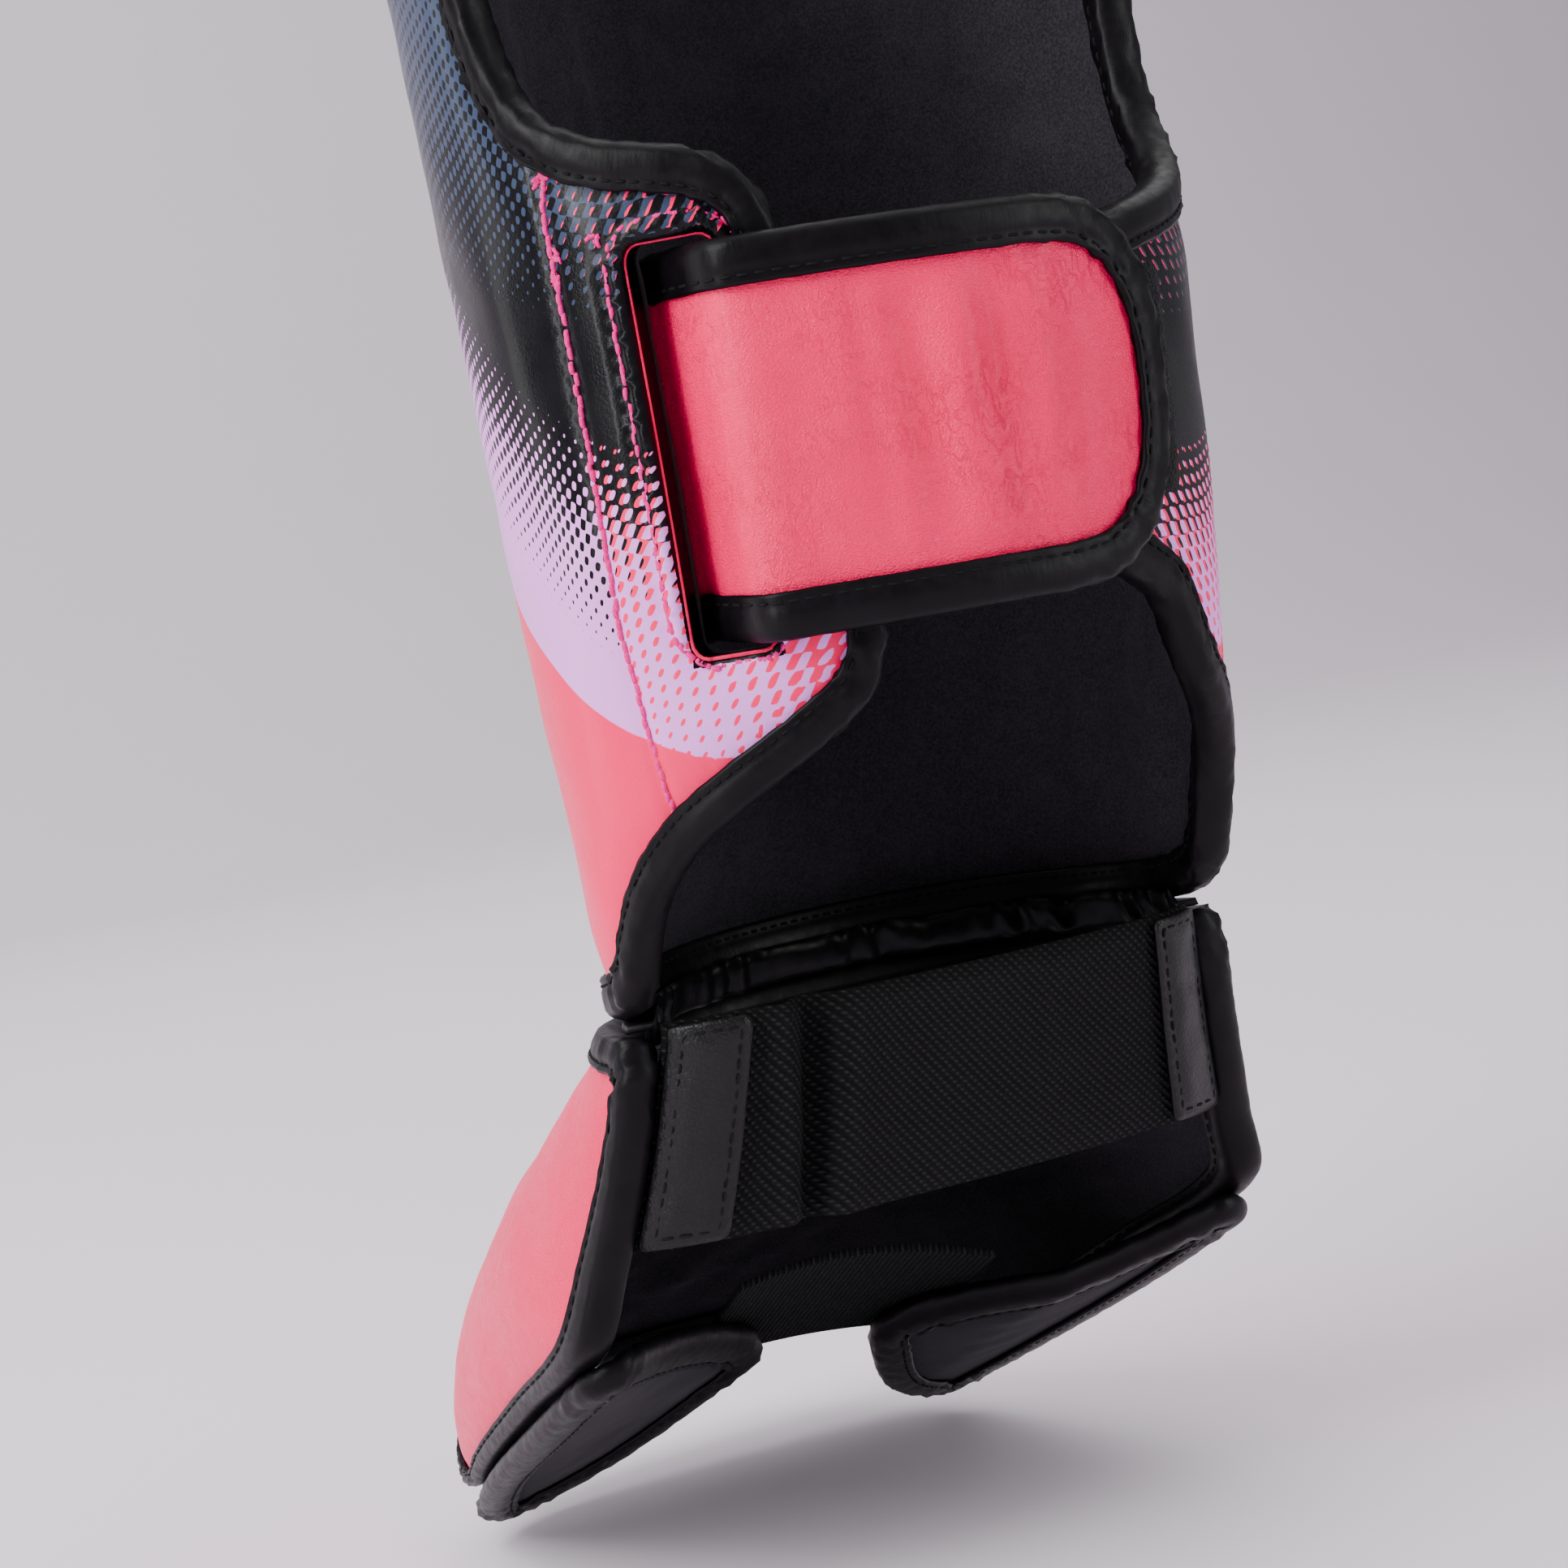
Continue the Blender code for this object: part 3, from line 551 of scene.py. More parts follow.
def face_outward(piece):
    """Turn every face outward."""
    bpy.context.view_layer.objects.active = piece
    for other in bpy.context.selected_objects:
        other.select_set(False)
    piece.select_set(True)
    bpy.ops.object.mode_set(mode="EDIT")
    bpy.ops.mesh.select_all(action="SELECT")
    bpy.ops.mesh.normals_make_consistent(inside=False)
    bpy.ops.object.mode_set(mode="OBJECT")
    piece.select_set(False)


def apply_all(piece):
    bpy.context.view_layer.objects.active = piece
    piece.select_set(True)
    for modifier in list(piece.modifiers):
        bpy.ops.object.modifier_apply(modifier=modifier.name)
    piece.select_set(False)


def puff(piece, pinned):
    """Cloth with air pressure swells the pad between its pinned edges, within SWELL_REACH."""
    group = piece.vertex_groups.new(name="held")
    for index, weight in enumerate(pinned):
        group.add([index], float(weight), "REPLACE")
    before = points_of(piece)
    cloth = piece.modifiers.new("cloth", "CLOTH")
    cloth.settings.use_pressure = True
    cloth.settings.uniform_pressure_force = AIR_PRESSURE
    cloth.settings.effector_weights.gravity = 0
    cloth.settings.vertex_group_mass = "held"
    cloth.settings.quality = 4
    cloth.settings.tension_stiffness = CLOTH_STIFFNESS
    cloth.settings.compression_stiffness = CLOTH_STIFFNESS
    cloth.settings.bending_stiffness = CLOTH_BENDING
    cloth.collision_settings.use_collision = False
    for number in range(1, CLOTH_FRAMES + 1):
        bpy.context.scene.frame_set(number)
    apply_all(piece)
    moved = points_of(piece) - before
    length = np.linalg.norm(moved, axis=1, keepdims=True)
    moved *= np.minimum(1.0, SWELL_REACH / np.maximum(length, 1e-9))
    move_points(piece, before + np.nan_to_num(moved))
    bpy.context.scene.frame_set(1)


def refine(piece):
    piece.modifiers.new("finer", "SUBSURF").levels = 1
    apply_all(piece)


def ring_faces(rings, around, closed, first=0):
    """Faces between rings of points, each ring closed on itself."""
    faces = []
    for r in range(rings if closed else rings - 1):
        n = (r + 1) % rings
        for i in range(around):
            j = (i + 1) % around
            faces.append((first + r * around + i, first + r * around + j,
                          first + n * around + j, first + n * around + i))
    return faces


def tape_section(near_depth, thickness):
    """The folded tape's section: distance from the edge, depth, and which way a pucker moves it."""
    stitched = 0.00035
    low = near_depth - BINDING_GAP - BINDING_WALL
    high = near_depth + thickness + BINDING_GAP + BINDING_WALL
    middle, half = (low + high) / 2, (high - low) / 2
    width = BINDING_WIDTH
    section = [(width, near_depth - BINDING_GAP * 0.5, 1, 0), (width + 0.0002, low + 0.0004, 1, -0.4),
               (width - 0.0006, low - 0.0001, 0.3, -1), (width - ROW_SET_BACK, low + stitched, 0, -1),
               (width - 0.0030, low - 0.00015, 0, -1), (width - 0.0045, low - 0.0003, 0, -1)]
    for k in range(9):
        turn = math.radians(20 * k + 10)
        section.append((0.0012 - (BINDING_GAP + BINDING_WALL + 0.0014) * math.sin(turn),
                        middle - (half + 0.0002) * math.cos(turn), -math.sin(turn), -math.cos(turn)))
    section += [(x, middle * 2 - d, nx, -nd) for x, d, nx, nd in section[5::-1]]
    section += [(width, near_depth + thickness + BINDING_GAP * 0.5, 0, 0),
                (-BINDING_GAP, near_depth + thickness + BINDING_GAP * 0.5, 0, 0),
                (-BINDING_GAP, near_depth - BINDING_GAP * 0.5, 0, 0)]
    return section, middle


def binding(name, place, outline, near_depth, thickness, seed):
    """A folded tape round an edge, stitched down near its border and puckered where it turns."""
    section, middle = tape_section(near_depth, thickness)
    line = finer(outline)
    count = len(line)
    tangent = unit(np.roll(line, -2, axis=0) - np.roll(line, 2, axis=0))
    turning = np.abs(np.cross(np.roll(tangent, 4, axis=0), np.roll(tangent, -4, axis=0)))
    turning = np.convolve(np.tile(turning, 3), np.ones(9) / 9, "same")[count:2 * count]
    run = np.concatenate([[0], np.cumsum(np.linalg.norm(np.diff(line, axis=0), axis=1))])
    rng = np.random.default_rng(seed)
    rows, flats = [], []
    for number, (x, depth, out_x, out_d) in enumerate(section):
        wave = np.zeros(count)
        for size in (0.0062, 0.0090, 0.0128):
            cycles = round(run[-1] / (size * rng.uniform(0.9, 1.1)))
            wave += np.sin(2 * math.pi * cycles * run / run[-1] + number * 0.35
                           + rng.uniform(0, 0.6) + size * 900)
        amount = (0.00005 + 0.00038 * np.clip(turning * 1.8, 0, 1)) * wave / 1.7
        loop = finer(inset(outline, x))
        shift = unit(np.roll(loop, -1, axis=0) - np.roll(loop, 1, axis=0))
        side = 1 if area_of(outline) > 0 else -1
        loop = loop + np.stack([-shift[:, 1], shift[:, 0]], 1) * side * (amount * out_x)[:, None]
        rows.append(place(loop[:, 0], loop[:, 1], depth + amount * out_d))
        flats.append(np.stack([run, np.full(count, x + (0.02 if depth > middle else 0))], 1))
    faces = ring_faces(len(rows), count, True)
    return make(name, np.concatenate(rows), faces, TAPE, np.concatenate(flats))


def stitches(name, place, path, depth, material, pitch=0.0034, length=0.0025, radius=0.00033,
             closed=True, outward=-1, wander=0.0, seed=1):
    """A row of thread stitches that dip into the cloth at their ends."""
    rng = np.random.default_rng(seed)
    path = np.asarray(path, float)
    total = np.sum(np.linalg.norm(np.diff(path, axis=0), axis=1))
    if closed:
        total += np.linalg.norm(path[0] - path[-1])
    count = max(3, round(total / pitch))
    line = np.concatenate([path, path[:1]]) if closed else path
    lengths = np.concatenate([[0], np.cumsum(np.linalg.norm(np.diff(line, axis=0), axis=1))])
    starts = np.arange(count) * lengths[-1] / count
    stops = (0.0, 0.12, 0.35, 0.65, 0.88, 1.0)
    sizes = (0.45, 0.95, 1.05, 1.05, 0.95, 0.45)
    lifts = (-0.9, 0.0, 0.35, 0.35, 0.0, -0.9)
    off = rng.normal(0, 1, (count, 2)) * wander
    verts, sides = [], 6
    for stop, size, lift in zip(stops, sizes, lifts):
        at = np.minimum(starts + stop * length, lengths[-1])
        p = np.stack([np.interp(at, lengths, line[:, k]) for k in (0, 1)], 1)
        ahead = np.minimum(at + 0.0004, lengths[-1])
        n = np.stack([np.interp(ahead, lengths, line[:, k]) for k in (0, 1)], 1)
        level = depth(p) if callable(depth) else np.full(count, depth)
        p = p + off
        n = n + off
        centre = place(p[:, 0], p[:, 1], level)
        up = unit(place(p[:, 0], p[:, 1], level + outward * 0.001) - centre)
        along = unit(place(n[:, 0], n[:, 1], level) - centre + 1e-9)
        across = unit(np.cross(along, up))
        for s in range(sides):
            turn = 2 * math.pi * s / sides
            ring = centre + (across * math.cos(turn) + up * math.sin(turn)) * radius * size
            verts.append(ring + up * radius * lift)
    verts = np.stack(verts, 1)
    per = len(stops) * sides
    faces = []
    for c in range(count):
        base = c * per
        faces += ring_faces(len(stops), sides, False, base)
        faces.append(tuple(base + s for s in range(sides))[::-1])
        faces.append(tuple(base + per - sides + s for s in range(sides)))
    return make(name, verts.reshape(-1, 3), faces, material)


# materials


class Graph:
    """A material's node graph, with arithmetic on its values."""

    def __init__(self, name):
        self.material = bpy.data.materials.new(name)
        self.material.use_nodes = True
        self.tree = self.material.node_tree
        self.shader = self.tree.nodes["Principled BSDF"]

    def node(self, kind, **settings):
        made = self.tree.nodes.new(kind)
        for key, value in settings.items():
            setattr(made, key, value)
        return made

    def put(self, socket, value):
        """Link a graph value to a socket, or set the socket to a number or a colour."""
        if isinstance(value, Value):
            self.tree.links.new(value.socket, socket)
        elif isinstance(value, (tuple, list)) and len(value) == 3 and socket.type == "RGBA":
            socket.default_value = (*value, 1.0)
        else:
            socket.default_value = value

    def math(self, operation, *values):
        made = self.node("ShaderNodeMath", operation=operation)
        for socket, value in zip(made.inputs, values):
            self.put(socket, value)
        return Value(self, made.outputs[0])

    def flat(self):
        """The two coordinates of the flat pattern, in millimetres."""
        made = self.node("ShaderNodeUVMap", uv_map="flat")
        split = self.node("ShaderNodeSeparateXYZ")
        self.tree.links.new(made.outputs[0], split.inputs[0])
        return Value(self, split.outputs[0]) * 1000.0, Value(self, split.outputs[1]) * 1000.0

    def point(self, x, y, z=0.0):
        made = self.node("ShaderNodeCombineXYZ")
        for socket, value in zip(made.inputs, (x, y, z)):
            self.put(socket, value)
        return Value(self, made.outputs[0])

    def place(self):
        """Object coordinates in millimetres."""
        made = self.node("ShaderNodeTexCoord")
        scale = self.node("ShaderNodeVectorMath", operation="SCALE")
        self.tree.links.new(made.outputs["Object"], scale.inputs[0])
        scale.inputs["Scale"].default_value = 1000.0
        return Value(self, scale.outputs[0])

    def noise(self, vector, scale, detail=3.0, rough=0.5, distortion=0.0):
        made = self.node("ShaderNodeTexNoise")
        self.put(made.inputs["Vector"], vector)
        made.inputs["Scale"].default_value = scale
        made.inputs["Detail"].default_value = detail
        made.inputs["Roughness"].default_value = rough
        made.inputs["Distortion"].default_value = distortion
        return Value(self, made.outputs[0])

    def cells(self, vector, scale, feature="DISTANCE_TO_EDGE"):
        made = self.node("ShaderNodeTexVoronoi", feature=feature)
        self.put(made.inputs["Vector"], vector)
        made.inputs["Scale"].default_value = scale
        return Value(self, made.outputs["Distance"])

    def span(self, value, low, high, to_low=0.0, to_high=1.0):
        """A value carried from low..high to to_low..to_high, held at both ends."""
        made = self.node("ShaderNodeMapRange", clamp=True)
        self.put(made.inputs[0], value)
        for socket, number in zip(made.inputs[1:5], (low, high, to_low, to_high)):
            self.put(socket, number)
        return Value(self, made.outputs[0])

    def mix(self, share, first, second):
        made = self.node("ShaderNodeMix", data_type="RGBA")
        self.put(made.inputs[0], share)
        self.put(made.inputs[6], first)
        self.put(made.inputs[7], second)
        return Value(self, made.outputs[2])

    def bump(self, height, distance, strength):
        made = self.node("ShaderNodeBump")
        made.inputs["Strength"].default_value = strength
        made.inputs["Distance"].default_value = distance
        self.put(made.inputs["Height"], height)
        return Value(self, made.outputs[0])

    def finish(self, colour, roughness, normal=None, **fixed):
        self.put(self.shader.inputs["Base Color"], colour)
        self.put(self.shader.inputs["Roughness"], roughness)
        if normal is not None:
            self.put(self.shader.inputs["Normal"], normal)
        for key, value in fixed.items():
            self.shader.inputs[key.replace("_", " ")].default_value = value
        return self.material


class Value:
    """One output in a graph, on which sums and products add math nodes."""

    def __init__(self, graph, socket):
        self.graph = graph
        self.socket = socket

    def __add__(self, other):
        return self.graph.math("ADD", self, other)

    def __sub__(self, other):
        return self.graph.math("SUBTRACT", self, other)

    def __rsub__(self, other):
        return self.graph.math("SUBTRACT", other, self)

    def __mul__(self, other):
        return self.graph.math("MULTIPLY", self, other)

    def __truediv__(self, other):
        return self.graph.math("DIVIDE", self, other)

    __radd__ = __add__
    __rmul__ = __mul__


def linear(red, green, blue):
    """A screen colour as linear light."""
    return tuple((c / 255 / 12.92) if c <= 10 else ((c / 255 + 0.055) / 1.055) ** 2.4
                 for c in (red, green, blue))


CORAL = (1.0, 0.0, 0.104)
CORAL_DEEP = (0.88, 0.0, 0.080)
LILAC = (0.80, 0.30, 0.84)
SLATE = (0.034, 0.049, 0.092)
BLACK = (0.0035, 0.0032, 0.0045)


def leather_grain(g, size=1.0):
    """Fine pebbled grain with faint creases, as height."""
    where = g.place()
    pebbles = g.span(g.cells(where, 0.95 / size), 0.0, 0.25)
    fine = g.noise(where, 2.2 / size, 3.0, 0.6)
    soft = g.noise(where, 0.06, 2.0)
    return pebbles * 0.5 + fine * 0.35 + soft * 0.4


def printed_leather():
    """The print: dot screens between flat colours, in millimetres of the flat map and degrees of turn."""
    g = Graph("printed_leather")
    u, v = g.flat()
    turn = g.math("ABSOLUTE", u) / (SHIN_HALF_WIDTH * 1000 * math.pi / 180)
    # the print's bands rise towards the front, and sit lower on the guard's right
    share = g.math("MINIMUM", g.math("MAXIMUM", (132.0 - turn) / 132.0, 0.0), 1.0)
    fall = 30.0 - (1.0 - g.math("COSINE", share * math.pi)) * 51.0
    level = v + g.span(u, -60.0, 110.0, 0.0, 15.0)
    side_run = g.math("ABSOLUTE", u)
    low_row = level + fall
    high_row = level + fall * 0.36

    def screen(pitch, rise, slant, right=0.0, up=0.0):
        """A staggered dot screen: 1 at each dot's middle, -1 between the dots."""
        along = g.math("COSINE", (v * slant + right - side_run) * (2 * math.pi / pitch))
        return along * g.math("COSINE", (low_row + up) * (math.pi / rise))

    def dots(screen_value, threshold):
        return g.span(screen_value - threshold, -0.035, 0.035)

    # front panel: slate dots thin out into black, and lilac ones grow out of it lower down
    fine = screen(4.0, 2.45, 0.40)
    slate = g.span(high_row, 153.0, 184.0, 1.05, 0.05) - g.span(high_row, 184.0, 228.0, 0.0, 0.75)
    front = g.mix(dots(fine, slate), BLACK, SLATE)
    lilac = g.span(low_row, 148.0, 129.0, 1.05, 0.0) - g.span(low_row, 129.0, 101.0, 0.0, 1.05)
    front = g.mix(dots(fine, lilac), front, LILAC)
    # wing panel: black dots on slate, then lilac ones on black, both with coral a little behind them
    coarse = screen(5.0, 3.1, 0.85)
    behind = screen(5.0, 3.1, 0.85, -1.15, 0.3)
    coral = g.span(turn, 113.0, 148.0, 0.85, -0.15)
    wing = g.mix(dots(behind, coral), SLATE, CORAL)
    black = g.span(high_row, 196.0, 172.0, 0.28, 0.0) - g.span(high_row, 172.0, 152.0, 0.0, 1.05)
    wing = g.mix(dots(coarse, black), wing, BLACK)
    shade = g.span(low_row, 134.0, 112.0, 1.05, 0.05)
    wing = g.mix(dots(screen(5.0, 3.1, 0.85, 1.0, 1.4), shade), wing, SLATE)
    coral = g.span(low_row, 149.0, 131.0, 1.05, 0.05) - g.span(low_row, 131.0, 112.0, 0.0, 1.1)
    wing = g.mix(dots(behind, coral), wing, CORAL)
    lilac = g.span(low_row, 148.0, 129.0, 1.05, 0.05) - g.span(low_row, 129.0, 108.0, 0.0, 0.55)
    lilac = lilac - g.span(low_row, 108.0, 72.0, 0.0, 0.45)
    lilac = lilac + g.span(turn, 132.0, 150.0, 0.0, 0.75) * g.span(low_row, 124.0, 112.0)
    wing = g.mix(dots(coarse, lilac), wing, LILAC)
    colour = g.mix(g.math("GREATER_THAN", turn, 113.2), front, wing)
    # plain black on the slot's own walls
    beside = g.math("ABSOLUTE", u - STRAP_SLOT * SHIN_HALF_WIDTH * 1000) - (SLOT_WIDTH * 500 + 0.6)
    above_it = g.math("ABSOLUTE", v - STRAP_HEIGHT * 1000) - (STRAP_WIDTH * 500 + 5.0)
    colour = g.mix(g.math("LESS_THAN", g.math("MAXIMUM", beside, above_it), 0.0), colour, BLACK)
    # solid coral below a curve
    bend = g.math("MINIMUM", g.math("MAXIMUM", (136.0 - turn) / 54.0, 0.0), 1.25)
    edge = g.math("POWER", bend, 1.6) * 29.0 + 55.0
    below = g.span(edge - v, -0.2, 0.2)
    tone = g.noise(g.place(), 0.02, 3.0)
    colour = g.mix(below, colour, g.mix(g.span(tone, 0.35, 0.7, 0.0, 0.4), CORAL, CORAL_DEEP))
    grain = leather_grain(g)
    rough = g.span(g.noise(g.place(), 0.12, 3.0), 0.3, 0.7, 0.26, 0.36)
    return g.finish(colour, rough, g.bump(grain, 0.00010, 0.4), Specular_IOR_Level=0.12,
                    Coat_Weight=0.06, Coat_Roughness=0.10)


def coral_leather(name, creased):
    """Coral leather, paler where it's worn; the strap's has fine creases and pits."""
    g = Graph(name)
    where = g.place()
    tone = g.noise(where, 0.035, 4.0)
    colour = g.mix(g.span(tone, 0.3, 0.75, 0.0, 0.55), CORAL, CORAL_DEEP)
    worn = g.noise(where, 0.5, 4.0)
    colour = g.mix(g.span(worn, 0.62, 0.8, 0.0, 0.18), colour, linear(250, 105, 150))
    height = leather_grain(g, 0.8)
    if creased:
        u, v = g.flat()
        broad = g.noise(g.point(u, v * 0.18), 0.12, 2.0, 0.5, 0.5)
        fine = g.math("ABSOLUTE", g.noise(g.point(u + 37.0, v * 0.55), 0.34, 4.0, 0.6, 1.0) - 0.5)
        where_worn = g.span(g.noise(g.point(u, v), 0.04, 2.0), 0.44, 0.62)
        pits = g.span(g.cells(g.point(u * 0.8, v * 1.5), 1.25), 0.0, 0.22)
        height = height * 0.5 + broad * 0.9 + pits * 0.3 + g.span(fine, 0.0, 0.040) * where_worn * 0.7
    rough = g.span(g.noise(where, 0.3, 3.0), 0.3, 0.7, 0.28, 0.40)
    return g.finish(colour, rough, g.bump(height, 0.00034, 0.8), Specular_IOR_Level=0.22,
                    Coat_Weight=0.05, Coat_Roughness=0.16)


def binding_tape():
    """Black tape with a faint pull across it."""
    g = Graph("binding_tape")
    where = g.place()
    u, v = g.flat()
    tone = g.noise(where, 0.10, 4.0)
    colour = g.mix(g.span(tone, 0.3, 0.7), (0.0020, 0.0015, 0.0022), (0.0044, 0.0034, 0.0048))
    pull = g.noise(g.point(u, v * 0.25), 0.9, 3.0, 0.5)
    height = g.noise(where, 3.0, 3.0) * 0.3 + pull * 0.8
    rough = g.span(g.noise(where, 0.4, 3.0), 0.3, 0.7, 0.34, 0.48)
    return g.finish(colour, rough, g.bump(height, 0.00015, 0.5), Specular_IOR_Level=0.12)


def brushed_lining(name, tone=1.0):
    """Black cloth with a short brushed nap; a tone below 1 darkens all its colour as painted shade."""
    g = Graph(name)
    dark = tuple(tone * c for c in (0.0080, 0.0070, 0.0092))
    pale = tuple(tone * c for c in (0.0350, 0.0305, 0.0400))
    where = g.place()
    nap = g.noise(where, 1.6, 5.0, 0.7)
    brushed = g.noise(where, 0.07, 4.0, 0.6, 1.2)
    colour = g.mix(g.span(nap, 0.4, 0.75), dark, pale)
    colour = g.mix(g.span(brushed, 0.45, 0.8, 0.0, 0.25), colour, pale)
    height = nap * 0.8 + g.cells(where, 2.6, "F1") * 0.3
    return g.finish(colour, 0.93, g.bump(height, 0.0003, 0.7), Specular_IOR_Level=0.2,
                    Sheen_Weight=0.12, Sheen_Roughness=0.35, Sheen_Tint=(0.62, 0.58, 0.66, 1.0))


def woven_elastic(name, rise, pitch=1.15):
    """Coarse slanted ribs, each cut across by the weft, with painted highlight on the ribs and knots and
    painted shade in the grooves between them.
    """
    g = Graph(name)
    u, v = g.flat()
    across = g.math("SINE", (u + v * rise) * (2 * math.pi / pitch))
    along = g.math("SINE", (u * 0.45 - v) * (2 * math.pi / (pitch * 0.72)))
    ribs = across * 0.5 + 0.5
    knots = along * 0.5 + 0.5
    height = ribs * 0.7 + ribs * knots * 0.8 + g.noise(g.point(u, v), 2.5, 3.0) * 0.35
    # shade: painted highlight on the ribs' tops and knots, painted shade in the grooves between them
    shade = g.math("POWER", ribs * (knots * 0.7 + 0.3), 1.8)
    colour = g.mix(shade, (0.0005, 0.0005, 0.0006), (0.0260, 0.0245, 0.0275))
    fuzz = g.noise(g.place(), 0.9, 4.0)
    colour = g.mix(g.span(fuzz, 0.5, 0.8, 0.0, 0.3), colour, (0.014, 0.014, 0.016))
    return g.finish(colour, 0.82, g.bump(height, 0.0009, 1.0), Specular_IOR_Level=0.14)


def loop_pile():
    """The loop side of a touch fastening."""
    g = Graph("loop_pile")
    where = g.place()
    pile = g.cells(where, 1.5, "F1")
    colour = g.mix(g.span(pile, 0.1, 0.7), (0.012, 0.012, 0.014), (0.002, 0.002, 0.002))
    return g.finish(colour, 0.95, g.bump(g.noise(where, 2.2, 4.0) + pile, 0.0006, 0.8),
                    Specular_IOR_Level=0.10, Sheen_Weight=0.06, Sheen_Roughness=0.5)


def grained_leather():
    """Black leather with a coarse grain, for the tabs."""
    g = Graph("grained_leather")
    where = g.place()
    cells = g.span(g.cells(where, 0.75), 0.0, 0.18)
    u, v = g.flat()
    creases = g.noise(g.point(u, v * 0.5), 0.5, 4.0, 0.6, 0.8)
    colour = g.mix(cells, (0.0022, 0.0020, 0.0024), (0.0044, 0.0040, 0.0048))
    height = cells * 0.35 + g.noise(where, 2.0, 3.0) * 0.2 + creases * 0.8
    return g.finish(colour, 0.36, g.bump(height, 0.00022, 0.6), Specular_IOR_Level=0.24)


def thread(name, colour, dark):
    g = Graph(name)
    where = g.place()
    twist = g.noise(where, 3.5, 3.0)
    return g.finish(g.mix(g.span(twist, 0.35, 0.7), colour, dark), 0.75,
                    g.bump(twist, 0.0001, 0.6), Specular_IOR_Level=0.15)


def plain_floor():
    g = Graph("pale_floor")
    where = g.place()
    tone = g.noise(where, 0.004, 3.0)
    colour = g.mix(tone, (0.775, 0.705, 0.78), (0.805, 0.735, 0.81))
    return g.finish(colour, 0.75, g.bump(g.noise(where, 0.8, 3.0), 0.0002, 0.15))


PRINT = printed_leather()
CORAL_STRAP = coral_leather("coral_strap", True)
CORAL_INSTEP = coral_leather("coral_instep", False)
TAPE = binding_tape()
LININGS = brushed_lining("brushed_lining")
# the flaps' cloth is the lining darkened to 0.4 of its colour: painted shade for the flaps under the foot
WING_CLOTH_SHADED = brushed_lining("wing_cloth_shaded", 0.4)
ELASTIC = woven_elastic("heel_elastic", 0.85, 2.0)
ELASTIC_FOOT = woven_elastic("foot_elastic", 0.0, 1.4)
PILE = loop_pile()
GRAIN = grained_leather()
BLACK_THREAD = thread("black_thread", (0.0016, 0.0015, 0.0017), (0.0060, 0.0056, 0.0064))
PINK_THREAD = thread("pink_thread", (0.95, 0.015, 0.30), (0.62, 0.008, 0.17))


# standing pieces in for the model's nodes


def stand_for(piece, node):
    """A dressed piece in the place of a node, its faces turned outward and its flat map laid."""
    face_outward(piece)
    lay_uv(piece)
    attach(piece, "root")
    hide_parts(node)
    return piece


def trim(piece):
    """A small piece of its own."""
    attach(piece, "root")
    return piece


def edge_row(name, place, coarse, depth, outward=-1):
    """The row of stitches that holds a binding down on one of its faces."""
    path = finer(inset(coarse, BINDING_WIDTH - ROW_SET_BACK))
    return trim(stitches(name, place, path, depth, BLACK_THREAD, outward=outward))


def lay_sheet(piece):
    """Work out a sheet's flat size from its nearer face; the result is not used."""
    flat, side = flat_of(piece)
    near = side < 0.5
    area = 0.0
    drawn = 0.0
    for polygon in piece.data.polygons:
        ids = list(polygon.vertices)
        if all(near[ids]):
            area += polygon.area
            drawn += abs(area_of(flat[ids]))
    size = (flat.max(0) - flat.min(0)) * math.sqrt(area / drawn)
    min(area, float(size[0] * size[1]))


# camera, light and floor


def make_camera():
    """The photo's camera: behind the calf and to its left, rolled as the guard leans in the photo."""
    around, up, roll = math.radians(-25), math.radians(4), math.radians(9.46)
    distance, pixels_a_metre, photo_width, sensor = 0.75, 5800, 1932, 36
    right = Vector((math.cos(around), math.sin(around), 0))
    above = Vector((-math.sin(around) * math.sin(up), math.cos(around) * math.sin(up), math.cos(up)))
    back = Vector((math.sin(around) * math.cos(up), -math.cos(around) * math.cos(up), math.sin(up)))
    target = right * -0.0224 + above * 0.0446
    x = right * math.cos(roll) - above * math.sin(roll)
    y = right * math.sin(roll) + above * math.cos(roll)
    data = bpy.data.cameras.new("camera")
    data.sensor_width = sensor
    data.lens = sensor * distance / (photo_width / pixels_a_metre)
    data.clip_start = 0.02
    camera = bpy.data.objects.new("camera", data)
    pose = Matrix((x, y, back)).transposed().to_4x4()
    pose.translation = target + back * distance
    camera.matrix_world = pose
    bpy.context.scene.collection.objects.link(camera)
    bpy.context.scene.camera = camera
    return right, above, back, target


def area_light(name, where, target, size, power):
    data = bpy.data.lights.new(name, "AREA")
    data.shape = "RECTANGLE"
    data.size, data.size_y = size
    data.energy = power
    lamp = bpy.data.objects.new(name, data)
    lamp.location = where
    lamp.rotation_mode = "QUATERNION"
    lamp.rotation_quaternion = (Vector(target) - Vector(where)).to_track_quat("-Z", "Y")
    bpy.context.scene.collection.objects.link(lamp)


